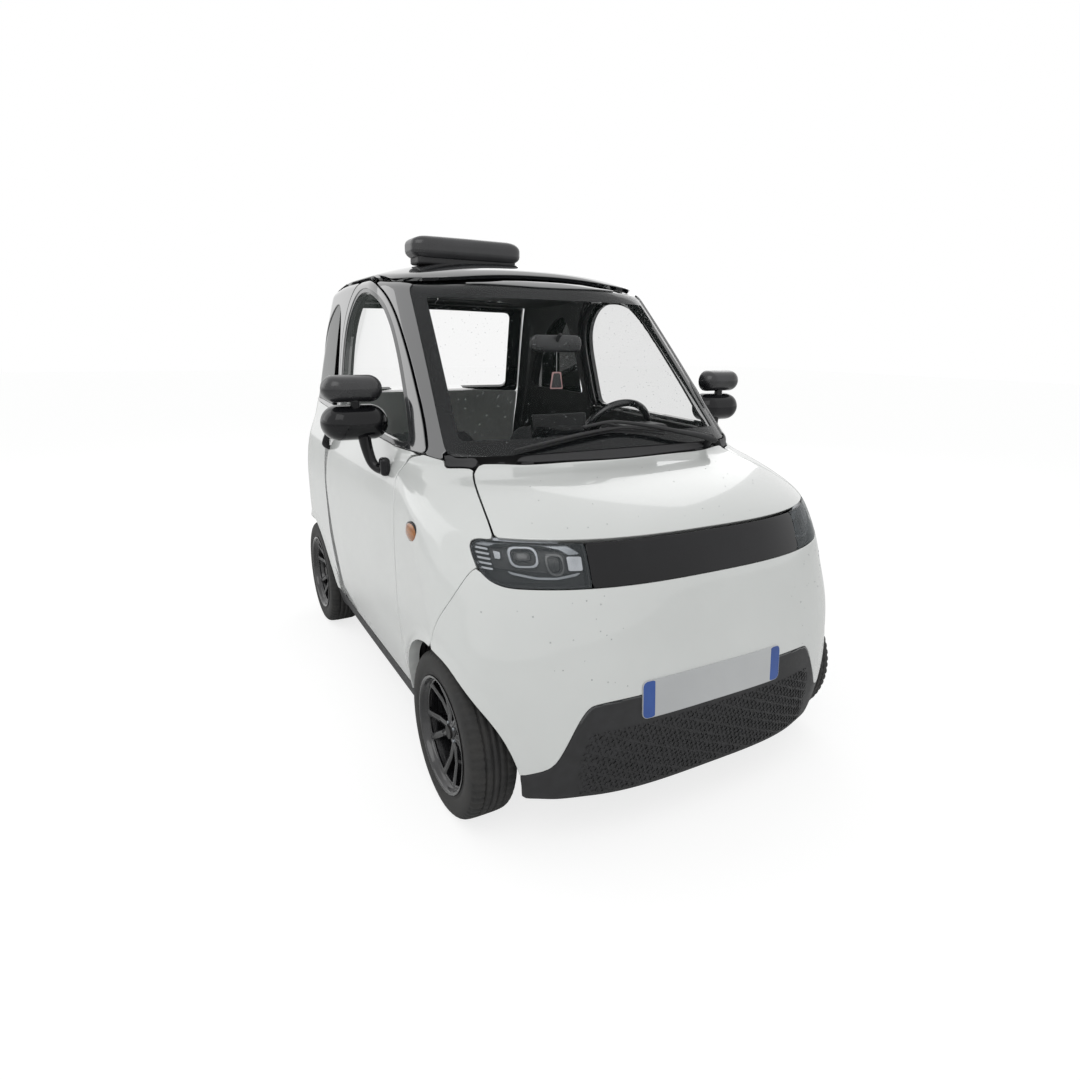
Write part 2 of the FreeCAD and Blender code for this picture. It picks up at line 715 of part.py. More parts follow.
def add_lamp_relief():
    """Sinks the face of each headlamp around its brow, bars, rings and plate."""
    sunk = region("band", -size("lamp_rim")).cut(
        block(0, far, -divider - size("lamp_rim"), divider + size("lamp_rim"), 0, height))
    raised = []
    for ring, hole in ((lamp_ring_shares, lamp_ring_hole_shares), (lamp_second_shares, lamp_second_hole_shares)):
        raised.append(prism(ring, "front", 0, far).cut(prism(hole, "front", 0, far)))
    for shares in (lamp_brow_shares, lamp_fin_shares, lamp_plate_shares):
        raised.append(prism(shares, "front", 0, far))
    for k in range(int(size("lamp_bar_count"))):
        top = size("lamp_bar_top") - k * size("lamp_bar_pitch")
        raised.append(block(0, far, size("lamp_bar_inner"), size("lamp_bar_outer"), top - size("lamp_bar_height"), top))
    sunk = left_side(sunk).cut(raised).cut(hull(size("lamp_recess")))
    panels["headlamp_left"] = solids_only(panels["headlamp_left"].cut(sunk))
    panels["headlamp_right"] = panels["headlamp_left"].mirror(Vector(0, 0, 0), directions["side"])


add_lamp_relief()


def add_grille_slots():
    """Staggered shallow slots across the lower grille."""
    slots = []
    border = region("grille", -size("slot_border"))
    for row in range(int(size("slot_rows"))):
        low = size("slot_bottom") + row * size("slot_rise")
        count = int(size("slot_columns")) - row % 2
        for column in range(count):
            middle = (column - (count - 1) / 2) * size("slot_pitch")
            slots.append(block(front_axle, far, middle - size("slot_width") / 2, middle + size("slot_width") / 2,
                               low, low + size("slot_height")))
    tool = border.common(Part.makeCompound(slots)).cut(hull(size("slot_depth")))
    panels["lower_grille"] = solids_only(panels["lower_grille"].cut(tool))


add_grille_slots()


def add_handles():
    """An upright grip near the rear edge of each door."""
    x = front_axle - size("handle_setback")
    z = size("handle_height")
    half = size("handle_length") / 2
    radius = size("handle_radius")
    surface = smooth_curve(side_profile)(z) * taper(x)
    y = surface + size("handle_lift")
    grip = Part.makeCylinder(radius, 2 * half, Vector(x, y, z - half))
    pieces = [Part.makeSphere(radius, Vector(x, y, z + way * half)) for way in (-1, 1)]
    pieces += [Part.makeCylinder(radius, size("handle_lift") + wall / 2, Vector(x, surface - wall / 2, z + way * half),
                                 directions["side"]) for way in (-1, 1)]
    grip = grip.fuse(pieces)
    panels["door_left"] = solids_only(panels["door_left"].fuse(grip))
    panels["door_right"] = panels["door_left"].mirror(Vector(0, 0, 0), directions["side"])


add_handles()
nodes = {}


def keep(feature, name):
    """Marks a document object as a sub-part of the vehicle."""
    feature.Label = name
    nodes[name] = feature
    return feature


for name, shape in panels.items():
    feature = doc.addObject("Part::Feature", name)
    feature.Shape = shape
    keep(feature, name)


def bind(feature, **formulas):
    for name, formula in formulas.items():
        feature.setExpression(name, bound(formula))


def place(feature, x, y, z, rotation=FreeCAD.Rotation()):
    feature.Placement = FreeCAD.Placement(Vector(worked(x), worked(y), worked(z)), rotation)
    feature.setExpression("Placement.Base.x", bound(x))
    feature.setExpression("Placement.Base.y", bound(y))
    feature.setExpression("Placement.Base.z", bound(z))


def solid(kind, name, x, y, z, rotation=FreeCAD.Rotation(), **formulas):
    """A primitive whose sizes and place follow the sheet."""
    feature = doc.addObject("Part::" + kind, name)
    bind(feature, **formulas)
    place(feature, x, y, z, rotation)
    return feature


def fused(name, shapes):
    joined = doc.addObject("Part::MultiFuse", name)
    joined.Shapes = shapes
    return joined


def less(name, base, tool):
    trimmed = doc.addObject("Part::Cut", name)
    trimmed.Base = base
    trimmed.Tool = tool
    return trimmed


def origin_plane(body, role):
    return next(item for item in body.Origin.OriginFeatures if item.Role == role)


def new_sketch(body, name, role):
    sketch = body.newObject("Sketcher::SketchObject", name)
    sketch.AttachmentSupport = [(origin_plane(body, role), "")]
    sketch.MapMode = "FlatFace"
    return sketch


def fix_point(sketch, item, spot, across, up):
    for kind, formula in (("DistanceX", across), ("DistanceY", up)):
        row = sketch.addConstraint(Sketcher.Constraint(kind, item, spot, worked(formula)))
        if formula != "0":
            sketch.setExpression("Constraints[%d]" % row, bound(formula))


def add_polygon(sketch, corners):
    """A closed outline whose every corner is tied to the sheet."""
    first = sketch.GeometryCount
    spots = [Vector(worked(across), worked(up), 0) for across, up in corners]
    count = len(spots)
    for k, spot in enumerate(spots):
        sketch.addGeometry(Part.LineSegment(spot, spots[(k + 1) % count]), False)
    for k in range(count):
        sketch.addConstraint(Sketcher.Constraint("Coincident", first + k, 2, first + (k + 1) % count, 1))
    for k, (across, up) in enumerate(corners):
        fix_point(sketch, first + k, 1, across, up)


def revolved(body, name, sketch):
    turned = body.newObject("PartDesign::Revolution", name)
    turned.Profile = sketch
    turned.ReferenceAxis = (sketch, ["V_Axis"])
    turned.Angle = 360
    return turned


def padded(body, name, sketch, formula, both_ways=False):
    pad = body.newObject("PartDesign::Pad", name)
    pad.Profile = sketch
    pad.Type = "Length"
    if both_ways:
        pad.Midplane = True
    pad.setExpression("Length", bound(formula))
    return pad


FRONT_AXLE = "(body_length / 2 - front_overhang)"
REAR_AXLE = "(body_length / 2 - front_overhang - wheelbase)"
WHEEL_Y = "(track / 2)"
outward_left = FreeCAD.Rotation(Vector(1, 0, 0), -90)
outward_right = FreeCAD.Rotation(Vector(1, 0, 0), 90)


def make_rim(name, x, y, rotation):
    """A wheel: rim barrel and hub turned in one, with five forked spokes between them."""
    body = doc.addObject("PartDesign::Body", name)
    section = new_sketch(body, name + "_section", "XZ_Plane")
    half = "rim_width / 2"
    add_polygon(section, [
        ("rim_radius", "-(%s)" % half), ("rim_radius", "flange - " + half),
        ("bead_radius", "flange - " + half), ("bead_radius", half + " - flange"),
        ("rim_radius", half + " - flange"), ("rim_radius", half),
        ("bead_radius - rim_wall", half), ("bead_radius - rim_wall", "-(%s)" % half)])
    add_polygon(section, [
        ("stub_radius + bearing_gap", "hub_reach - 2 * drum_depth"), ("drum_radius", "hub_reach - 2 * drum_depth"),
        ("drum_radius", "hub_reach - drum_depth"), ("hub_radius", "hub_reach - drum_depth"),
        ("hub_radius", "hub_reach"), ("stub_radius + bearing_gap", "hub_reach")])
    revolved(body, name + "_turned", section)
    doc.recompute()
    fork = new_sketch(body, name + "_fork", "XY_Plane")
    fork.setExpression("AttachmentOffset.Base.z", bound("hub_reach - spoke_depth"))
    for side in ("", "-"):
        add_polygon(fork, [
            ("hub_radius - spoke_width / 2", side + "(spoke_root - spoke_width / 2)"),
            ("spoke_tip", side + "(spoke_spread - spoke_width / 2)"),
            ("spoke_tip", side + "(spoke_spread + spoke_width / 2)"),
            ("hub_radius - spoke_width / 2", side + "(spoke_root + spoke_width / 2)")])
    pad = padded(body, name + "_spoke", fork, "spoke_depth")
    pattern = body.newObject("PartDesign::PolarPattern", name + "_spokes")
    pattern.Originals = [pad]
    pattern.Axis = (fork, ["N_Axis"])
    pattern.Occurrences = 5
    pattern.Angle = 360
    body.Tip = pattern
    place(body, x, y, "tyre_radius", rotation)
    return keep(body, name)


def make_tyre(name, x, y, rotation):
    body = doc.addObject("PartDesign::Body", name)
    section = new_sketch(body, name + "_section", "XZ_Plane")
    seat = "(rim_width / 2 - flange - seat_gap)"
    wide = "(tyre_width / 2)"
    rise = "(tyre_radius - rim_radius)"
    half = [
        ("bead_radius + seat_gap", seat), ("rim_radius + 2 * seat_gap", seat),
        ("rim_radius + %s / 3" % rise, wide), ("tyre_radius - %s / 3" % rise, wide + " * 0.98"),
        ("tyre_radius - %s / 10" % rise, wide + " * 0.86"), ("tyre_radius", wide + " * 0.7")]
    other = [(across, "-(%s)" % up) for across, up in reversed(half)]
    add_polygon(section, half + other)
    revolved(body, name + "_turned", section)
    place(body, x, y, "tyre_radius", rotation)
    return keep(body, name)


for axle_name, axle in (("front", FRONT_AXLE), ("rear", REAR_AXLE)):
    for side, y, rotation in (("left", WHEEL_Y, outward_left), ("right", "-" + WHEEL_Y, outward_right)):
        make_rim("wheel_%s_%s" % (axle_name, side), axle, y, rotation)
        make_tyre("tyre_%s_%s" % (axle_name, side), axle, y, rotation)


def make_knuckles():
    """An upright on the kingpin line with the stub that the wheel turns on, and the same mirrored."""
    upright = solid("Cylinder", "upright", FRONT_AXLE, "track / 2 - kingpin_inset",
                    "tyre_radius - upright_height / 2", Radius="upright_radius", Height="upright_height")
    stub = solid("Cylinder", "stub", FRONT_AXLE, "track / 2 - kingpin_inset", "tyre_radius",
                 outward_left, Radius="stub_radius", Height="kingpin_inset + hub_reach - flange")
    left = keep(fused("knuckle_shape", [upright, stub]), "knuckle_left")
    right = doc.addObject("Part::Mirroring", "knuckle_right_shape")
    right.Source = left
    right.Normal = directions["side"]
    keep(right, "knuckle_right")


make_knuckles()


def make_front_subframe():
    """Cross beam, two rails back to the bulkhead, and on each side two arms and a strut."""
    pieces = [solid("Box", "cross_beam", FRONT_AXLE + " - beam_width / 2", "-arm_inner - arm_width / 2",
                    "beam_bottom", Length="beam_width", Width="2 * arm_inner + arm_width",
                    Height="beam_height")]
    for side, sign in (("left", "1"), ("right", "-1")):
        pieces.append(solid(
            "Box", "rail_" + side, FRONT_AXLE + " - bulkhead_setback + seat_gap",
            sign + " * rail_offset - rail_width / 2", "beam_bottom",
            Length="bulkhead_setback - seat_gap + rail_reach", Width="rail_width", Height="beam_height"))
        low = "tyre_radius - upright_height / 2 - seat_gap - arm_thickness"
        high = "tyre_radius + upright_height / 2 + seat_gap"
        for level, z in (("lower", low), ("upper", high)):
            start = "arm_inner" if sign == "1" else "-(track / 2 - kingpin_inset)"
            pieces.append(solid(
                "Box", "%s_arm_%s" % (level, side), FRONT_AXLE + " - arm_width / 2", start, z,
                Length="arm_width", Width="track / 2 - kingpin_inset - arm_inner", Height="arm_thickness"))
            pieces.append(solid(
                "Cylinder", "%s_eye_%s" % (level, side), FRONT_AXLE,
                sign + " * (track / 2 - kingpin_inset)", z, Radius="eye_radius", Height="arm_thickness"))
        pieces.append(solid(
            "Box", "post_" + side, FRONT_AXLE + " - arm_width / 2", sign + " * arm_inner - arm_width / 2",
            low, Length="arm_width", Width="arm_width", Height="upright_height + 2 * (arm_thickness + seat_gap)"))
        pieces.append(solid(
            "Cylinder", "strut_" + side, FRONT_AXLE, sign + " * strut_inset", high, Radius="strut_radius",
            Height="arch_radius - 2 * seat_gap - housing_wall - upright_height / 2 - strut_radius / 8"))
    keep(fused("front_subframe_shape", pieces), "front_subframe")


make_front_subframe()


def make_rear_axle():
    """A dead axle tube with two stubs and two trailing arms forward to the riser."""
    pieces = [
        solid("Cylinder", "axle_tube", REAR_AXLE, "-axle_tube_length / 2", "tyre_radius", outward_left,
              Radius="axle_tube_radius", Height="axle_tube_length"),
        solid("Cylinder", "axle_stubs", REAR_AXLE, "-(track / 2 + hub_reach - flange)", "tyre_radius",
              outward_left, Radius="stub_radius", Height="track + 2 * (hub_reach - flange)")]
    for side, sign in (("left", "1"), ("right", "-1")):
        pieces.append(solid(
            "Box", "trailing_arm_" + side, REAR_AXLE, sign + " * rail_offset - rail_width / 2",
            "tyre_radius - trailing_arm_height / 2", Length="riser_setback - seat_gap", Width="rail_width",
            Height="trailing_arm_height"))
    keep(fused("rear_axle_shape", pieces), "rear_axle")


make_rear_axle()


def make_floor_pan():
    """Cabin floor with the bulkhead in front and the raised deck over the rear axle, inside the shell."""
    thickness = size("floor_thickness")
    bulkhead = front_axle - size("bulkhead_setback")
    riser = rear_axle + size("riser_setback")
    low = size("floor_height")
    deck = size("deck_height")
    corners = [
        (bulkhead, size("bulkhead_top")), (bulkhead - thickness, size("bulkhead_top")),
        (bulkhead - thickness, low + thickness), (riser + thickness, low + thickness),
        (riser + thickness, deck + thickness), (-front_end, deck + thickness), (-front_end, deck),
        (riser, deck), (riser, low), (bulkhead, low)]
    spots = [Vector(x, -half_body, z) for x, z in corners]
    face = Part.Face(Part.makePolygon(spots + spots[:1]))
    profile = face.extrude(Vector(0, width, 0))
    floor = doc.addObject("Part::Feature", "floor_pan_shape")
    floor.Shape = solids_only(profile.common(inner_fit))
    keep(floor, "floor_pan")


inner_fit = hull(wall + 2 * seat_gap + size("inner_wall"))
make_floor_pan()


def make_wheel_housings():
    """Thin half drums over the four wheels, closed toward the cabin above the arms."""
    outer = size("arch_radius") - seat_gap
    skin = size("housing_wall")
    inner_y = size("arch_start")
    outer_y = size("housing_end")
    low = size("tyre_radius") + size("beam_height") / 4
    shells = []
    for x in (front_axle, rear_axle):
        foot = Vector(x, inner_y + seat_gap, size("tyre_radius"))
        drum = Part.makeCylinder(outer, outer_y - inner_y, foot, directions["side"])
        hollow = Part.makeCylinder(outer - skin, far, foot + Vector(0, skin, 0), directions["side"])
        drum = drum.cut([hollow, block(-far, far, -far, far, -far, low)])
        wall_room = block(-far, far, 0, inner_y + 2 * skin, -far, size("tyre_radius") + outer / 2)
        shells.append(drum.cut(wall_room).common(outer_hull))
    pair = Part.makeCompound(shells)
    housings = doc.addObject("Part::Feature", "wheel_housings_shape")
    housings.Shape = both_sides(pair)
    keep(housings, "wheel_housings")


make_wheel_housings()

battery = solid(
    "Box", "battery_block", FRONT_AXLE + " - battery_setback - battery_length", "-battery_width / 2",
    "floor_height + floor_thickness + seat_gap", Length="battery_length", Width="battery_width",
    Height="battery_height")
keep(battery, "battery_pack")


def make_seat():
    """One seat: cushion and raked backrest in one side profile, rounded all over."""
    body = doc.addObject("PartDesign::Body", "seat_left_shape")
    profile = new_sketch(body, "seat_profile", "XZ_Plane")
    add_polygon(profile, [
        ("0", "0"), ("0", "cushion_height * 0.85"), ("-cushion_length * 0.2", "cushion_height"),
        ("-cushion_length + backrest_depth / 3", "cushion_height * 0.8"),
        ("-cushion_length - seat_rake + backrest_depth", "cushion_height + backrest_height * 0.7"),
        ("-cushion_length - seat_rake + backrest_depth * 0.6", "cushion_height + backrest_height"),
        ("-cushion_length - seat_rake", "cushion_height + backrest_height"),
        ("-cushion_length", "0")])
    pad = padded(body, "seat_pad", profile, "seat_width", True)
    doc.recompute()
    rounding = body.newObject("PartDesign::Fillet", "seat_round")
    rounding.Base = (pad, ["Face1"])
    rounding.UseAllEdges = True
    rounding.setExpression("Radius", bound("seat_round"))
    place(body, FRONT_AXLE + " - seat_setback", "seat_offset",
          "floor_height + floor_thickness + 2 * seat_gap + battery_height")
    return body


left_seat = make_seat()
right_seat = doc.addObject("Part::Mirroring", "seat_right_shape")
right_seat.Source = left_seat
right_seat.Normal = directions["side"]
seats = doc.addObject("Part::Compound", "seats_shape")
seats.Links = [left_seat, right_seat]
keep(seats, "seats")


def column_axis():
    tilt = math.radians(size("steering_tilt"))
    return Vector(-math.cos(tilt), 0, math.sin(tilt))


wheel_centre = Vector(front_axle - size("steering_setback"), size("steering_offset"), size("steering_height"))


def rounded_block(front, middle, low, name):
    """A block with rounded edges that stands on the dashboard, sunk by its own rounding."""
    deep = size(name + "_length") if name == "hood" else size(name + "_depth")
    sunk = size(name + "_round")
    box = Part.makeBox(deep, size(name + "_width"), size(name + "_rise") + sunk,
                       Vector(front - deep, middle - size(name + "_width") / 2, low - sunk))
    return box.makeFillet(sunk * (1 - seam / sunk), box.Edges) if name == "hood" else box.makeFillet(sunk / 2, box.Edges)


def make_dashboard():
    """A full-width shelf under the windscreen with the tube that the steering column runs in."""
    front = front_axle - size("dash_setback")
    back = front - size("dash_length")
    top = size("dash_top")
    bottom = size("dash_bottom")
    bulkhead = front_axle - size("bulkhead_setback") - size("floor_thickness") - seat_gap
    over = size("bulkhead_top") + seat_gap
    lip = size("corner")
    corners = [
        (front, over), (front, top - lip), (bulkhead, top), (back + 3 * lip, top - lip / 5),
        (back, top - 1.5 * lip), (back - lip / 3, top - 4 * lip), (back + 3 * lip, bottom + 1.5 * lip),
        (bulkhead, bottom), (bulkhead, over)]
    spots = [Vector(x, -half_body, z) for x, z in corners]
    face = Part.Face(Part.makePolygon(spots + spots[:1]))
    shelf = face.extrude(Vector(0, width, 0)).common(inner_fit)
    axis = column_axis()
    reach = size("column_length")
    start = wheel_centre - axis * (size("steering_hub_depth") + size("running_gap"))
    tube = Part.makeCylinder(size("column_radius"), reach, start, axis * -1)
    bore = Part.makeCylinder(size("shaft_radius") + size("bearing_gap"), size("shaft_length") + reach,
                             start + axis * reach, axis * -1)
    shapes = [tube, rounded_block(front_axle - size("hood_setback"), size("steering_offset"), top, "hood")]
    shapes.append(rounded_block(front_axle - size("screen_setback"), size("screen_offset"), top, "screen"))
    depth = {"length": size("vent_reach"), "rise": size("vent_height")}
    for y in (-size("vent_offset"), size("vent_offset")):
        vent = Part.makeBox(5 * depth["length"], size("vent_width"), depth["rise"],
                            Vector(back, y - size("vent_width") / 2, top - size("vent_drop")))
        shapes.append(vent.makeFillet(size("vent_round"), vent.Edges).common(inner_fit))
    dash = doc.addObject("Part::Feature", "dashboard_shape")
    dash.Shape = solids_only(shelf.fuse(shapes).cut(bore))
    keep(dash, "dashboard")


make_dashboard()


def make_steering_wheel():
    """Rim, three spokes, hub and the shaft down the column."""
    tilt_back = FreeCAD.Rotation(directions["plan"], column_axis())
    centre = (FRONT_AXLE + " - steering_setback", "steering_offset", "steering_height")
    rim = solid("Torus", "steering_rim", *centre, tilt_back,
                Radius1="steering_wheel_radius - steering_rim_radius", Radius2="steering_rim_radius")
    down = column_axis() * -1
    drop = "steering_hub_depth"
    hub = solid("Cylinder", "steering_hub", *centre, FreeCAD.Rotation(directions["plan"], down),
                Radius="steering_hub_radius", Height=drop)
    shaft = solid("Cylinder", "steering_shaft", *centre, FreeCAD.Rotation(directions["plan"], down),
                  Radius="shaft_radius", Height="shaft_length")
    arms = []
    for k in range(3):
        turn = FreeCAD.Rotation(directions["plan"], 90 + 120 * k)
        arm = solid("Cylinder", "steering_arm_%d" % (k + 1), *centre,
                    tilt_back * turn * FreeCAD.Rotation(directions["plan"], directions["front"]),
                    Radius="steering_rim_radius * 0.8", Height="steering_wheel_radius - steering_rim_radius")
        arms.append(arm)
    keep(fused("steering_wheel_shape", [rim, hub, shaft] + arms), "steering_wheel")


make_steering_wheel()


def make_sign():
    """A rounded box across the roof, flat below, on two feet."""
    body = doc.addObject("PartDesign::Body", "roof_sign_shape")
    profile = new_sketch(body, "sign_profile", "YZ_Plane")
    add_polygon(profile, [
        ("-sign_width / 2", "0"), ("sign_width / 2", "0"),
        ("sign_width / 2 - sign_round / 4", "sign_height"), ("sign_round / 4 - sign_width / 2", "sign_height")])
    pad = padded(body, "sign_pad", profile, "sign_depth", True)
    doc.recompute()
    rounding = body.newObject("PartDesign::Fillet", "sign_round_top")
    top_face = max(range(len(pad.Shape.Faces)), key=lambda k: pad.Shape.Faces[k].CenterOfMass.z)
    rounding.Base = (pad, ["Face%d" % (top_face + 1)])
    rounding.setExpression("Radius", bound("sign_round"))
    place(body, FRONT_AXLE + " - sign_setback", "sign_offset", "body_height + sign_foot")
    return body


sign_box = make_sign()
feet = []
for k, sign in enumerate(("-1", "1")):
    feet.append(solid(
        "Box", "sign_foot_%d" % (k + 1), FRONT_AXLE + " - sign_setback - sign_depth / 3",
        "sign_offset + %s * sign_width / 3 - sign_round / 2" % sign, "body_height - 3 * sign_foot",
        Length="sign_depth * 2 / 3", Width="sign_round", Height="4 * sign_foot"))
roof_tool = doc.addObject("Part::Feature", "roof_tool")
roof_tool.Shape = hull(-seat_gap)
sign_joined = fused("sign_joined", [sign_box] + feet)
keep(less("roof_sign_cut", sign_joined, roof_tool), "roof_sign")


def make_mirror():
    """A door mirror with a second, slimmer one above it, on a stalk from the door."""
    parts = []
    for name, rise, wide, tall, deep in (
            ("main", "0", "mirror_width", "mirror_tall", "mirror_depth"),
            ("extra", "extra_mirror_rise", "extra_mirror_width", "extra_mirror_tall", "extra_mirror_depth")):
        body = doc.addObject("PartDesign::Body", "mirror_%s_left" % name)
        face = new_sketch(body, "mirror_%s_face" % name, "YZ_Plane")
        add_polygon(face, [
            ("-%s / 2" % wide, "-%s / 2" % tall), ("%s / 2" % wide, "-%s / 2" % tall),
            ("%s / 2" % wide, "%s / 2" % tall), ("-%s / 2" % wide, "%s / 2" % tall)])
        pad = padded(body, "mirror_%s_pad" % name, face, deep, True)
        doc.recompute()
        rounding = body.newObject("PartDesign::Fillet", "mirror_%s_round" % name)
        rounding.Base = (pad, ["Face1"])
        rounding.UseAllEdges = True
        rounding.setExpression("Radius", bound(deep + " * 0.4"))
        place(body, FRONT_AXLE + " - mirror_setback", "mirror_offset", "mirror_height + " + rise)
        parts.append(body)
    stalk = solid("Cylinder", "mirror_stalk_left", FRONT_AXLE + " - mirror_setback", "stalk_offset",
                  "stalk_foot_height", Radius="stalk_radius", Height="mirror_height - stalk_foot_height")
    link = solid("Cylinder", "mirror_link_left", FRONT_AXLE + " - mirror_setback", "mirror_offset",
                 "mirror_height", Radius="stalk_radius", Height="extra_mirror_rise")
    foot = solid("Box", "mirror_foot_left", FRONT_AXLE + " - mirror_setback - stalk_radius",
                 "stalk_offset - 2 * stalk_radius", "stalk_foot_height - stalk_radius",
                 Length="2 * stalk_radius", Width="3 * stalk_radius", Height="2 * stalk_radius")
    joined = fused("mirror_left_joined", parts + [stalk, link, foot])
    return less("mirror_left_cut", joined, roof_tool)


left_mirror = keep(make_mirror(), "mirror_left")
right_mirror = doc.addObject("Part::Mirroring", "mirror_right_shape")
right_mirror.Source = left_mirror
right_mirror.Normal = directions["side"]
keep(right_mirror, "mirror_right")


def nose_spot(across_share, height_share, lift):
    """A point on the nose or windscreen, lifted off its surface."""
    z = height_share * height
    nose = smooth_curve(offset_profile(nose_profile, -lift, 1))
    half = smooth_curve(side_profile)(z)
    inset = 1 - (abs(across_share) * half_body / half) ** corner_power(z)
    x = nose(z) - corner_depth(z) + corner_depth(z) * math.sqrt(inset)
    return Vector(x, across_share * half_body, z)


wiper_shares = ((0.56, 0.6250), (0.50, 0.6310), (0.25, 0.6440), (-0.03, 0.6500), (-0.28, 0.6420), (-0.52, 0.6275))


def make_wiper():
    """The wiper arm and blade as one bar along the foot of the windscreen."""
    spots = [nose_spot(across, level, size("wiper_lift") + size("wiper_radius")) for across, level in wiper_shares]
    curve = Part.BSplineCurve()
    curve.interpolate(spots)
    path = Part.Wire(curve.toShape())
    start = curve.value(curve.FirstParameter)
    ring = Part.Wire(Part.makeCircle(size("wiper_radius"), start, curve.tangent(curve.FirstParameter)[0]))
    bar = path.makePipeShell([ring], True, True)
    lift = size("wiper_lift")
    pin = Part.makeCylinder(size("wiper_pin_radius"), 5 * lift, start - directions["plan"] * 4 * lift)
    wiper = doc.addObject("Part::Feature", "wiper_shape")
    wiper.Shape = solids_only(bar.fuse(pin).cut(roof_tool.Shape))
    keep(wiper, "wiper")


make_wiper()

doc.recompute()
faults = [item.Name for item in doc.Objects if "Invalid" in item.State or "Error" in item.State]
for name, feature in nodes.items():
    if feature.Shape.isNull() or not feature.Shape.isValid():
        faults.append(name)
if faults:
    raise RuntimeError("failed: " + ", ".join(faults))
for name, feature in nodes.items():
    feature.Shape.exportStep("parts/%s.step" % name)
print("%d sub-parts written" % len(nodes))
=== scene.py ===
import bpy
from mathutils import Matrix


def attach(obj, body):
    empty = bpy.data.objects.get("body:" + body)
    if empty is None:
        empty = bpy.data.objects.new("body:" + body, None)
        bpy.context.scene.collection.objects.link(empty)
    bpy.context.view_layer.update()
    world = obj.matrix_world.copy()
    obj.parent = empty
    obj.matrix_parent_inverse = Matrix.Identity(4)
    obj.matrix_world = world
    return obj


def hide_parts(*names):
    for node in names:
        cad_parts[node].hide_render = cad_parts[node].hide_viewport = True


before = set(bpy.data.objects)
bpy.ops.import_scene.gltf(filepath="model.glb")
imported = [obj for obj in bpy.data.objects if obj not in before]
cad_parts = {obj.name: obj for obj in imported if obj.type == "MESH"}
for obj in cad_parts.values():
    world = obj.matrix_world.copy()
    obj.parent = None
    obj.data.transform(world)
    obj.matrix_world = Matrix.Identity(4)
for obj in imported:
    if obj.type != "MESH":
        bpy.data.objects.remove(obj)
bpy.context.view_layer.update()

import math
import random

import bpy
import numpy as np
from mathutils import Matrix, Vector

# Driving dimensions in metres, as in the construction
LENGTH, HALF, HEIGHT = 2.45, 0.72, 1.672
FRONT = LENGTH / 2
FRONT_AXLE, REAR_AXLE, WHEEL_Y, AXLE_Z = 0.825, -0.835, 0.632, 0.252
FLOOR = 0.168
ARCH, ARCH_INNER_Y = 0.288, 0.426
LIP_HIGH, LIP_WIDE = 0.008, 0.032
FLARE_SIDE, FLARE_BLEND = 0.4, 0.08
FILL_HIGH, FILL_WIDE, FILL_START, FILL_BLEND = 0.022, 0.2, 0.9, 0.15
FILLET = 0.03
MEET = 0.293 * FILLET - 0.0004
GAP, SEAM = 0.0022, 0.0009
CHASSIS = "chassis"
SIDES = ((1, "left"), (-1, "right"))


# The body form: the same curves as the construction, in shares of length, half width and height

def curve(pairs):
    """A smooth curve through the pairs that never overshoots them."""
    xs, ys = np.array(pairs, float).T
    h = np.diff(xs)
    r = np.diff(ys) / h
    m = np.empty_like(xs)
    m[0], m[-1] = r[0], r[-1]
    for k in range(1, len(xs) - 1):
        if r[k - 1] * r[k] <= 0:
            m[k] = 0
        else:
            w1, w2 = 2 * h[k] + h[k - 1], h[k] + 2 * h[k - 1]
            m[k] = (w1 + w2) / (w1 / r[k - 1] + w2 / r[k])

    def value(x):
        x = np.asarray(x, float)
        k = np.clip(np.searchsorted(xs, x, side="right") - 1, 0, len(h) - 1)
        u = np.clip((x - xs[k]) / h[k], 0, 1)
        over = x - np.clip(x, xs[0], xs[-1])
        a = (1 + 2 * u) * (1 - u) ** 2 * ys[k] + u * u * (3 - 2 * u) * ys[k + 1]
        b = h[k] * u * (1 - u) ** 2 * m[k] - h[k] * u * u * (1 - u) * m[k + 1]
        return a + b + over * np.where(over < 0, m[0], m[-1])

    return value


NOSE = ((0.0718, 0.0102), (0.0898, 0.0049), (0.1196, 0.0012), (0.1794, 0.0), (0.2392, 0.0024), (0.299, 0.0057),
        (0.3589, 0.0114), (0.4187, 0.0196), (0.4665, 0.0269), (0.5084, 0.0359), (0.5293, 0.0441), (0.5443, 0.0592),
        (0.5562, 0.0796), (0.567, 0.1041), (0.5772, 0.1327), (0.5873, 0.1653), (0.5963, 0.1918), (0.6053, 0.209),
        (0.616, 0.2155), (0.6699, 0.2498), (0.7476, 0.298), (0.8373, 0.3551), (0.8971, 0.3943), (0.945, 0.4265),
        (0.9928, 0.4612), (1.0287, 0.4878))
TAIL = ((0.0718, 0.0367), (0.0897, 0.0265), (0.1495, 0.0102), (0.2392, 0.002), (0.329, 0.0), (0.4785, 0.002),
        (0.5682, 0.0082), (0.6579, 0.0204), (0.7476, 0.0367), (0.8373, 0.0563), (0.927, 0.0808), (0.9928, 0.102),
        (1.0287, 0.1143))
SIDE = ((0.0718, 0.868), (0.0898, 0.889), (0.1196, 0.917), (0.1794, 0.953), (0.2691, 0.984), (0.3589, 0.999),
        (0.4486, 1.0), (0.5084, 0.991), (0.5502, 0.975), (0.5861, 0.95), (0.616, 0.926), (0.6579, 0.906),
        (0.7476, 0.874), (0.8373, 0.839), (0.927, 0.801), (0.9928, 0.768), (1.0287, 0.75))
DEPTH = ((0.0718, 0.147), (0.299, 0.153), (0.4187, 0.167), (0.5084, 0.192), (0.5502, 0.204), (0.5861, 0.18),
         (0.622, 0.139), (1.0287, 0.139))
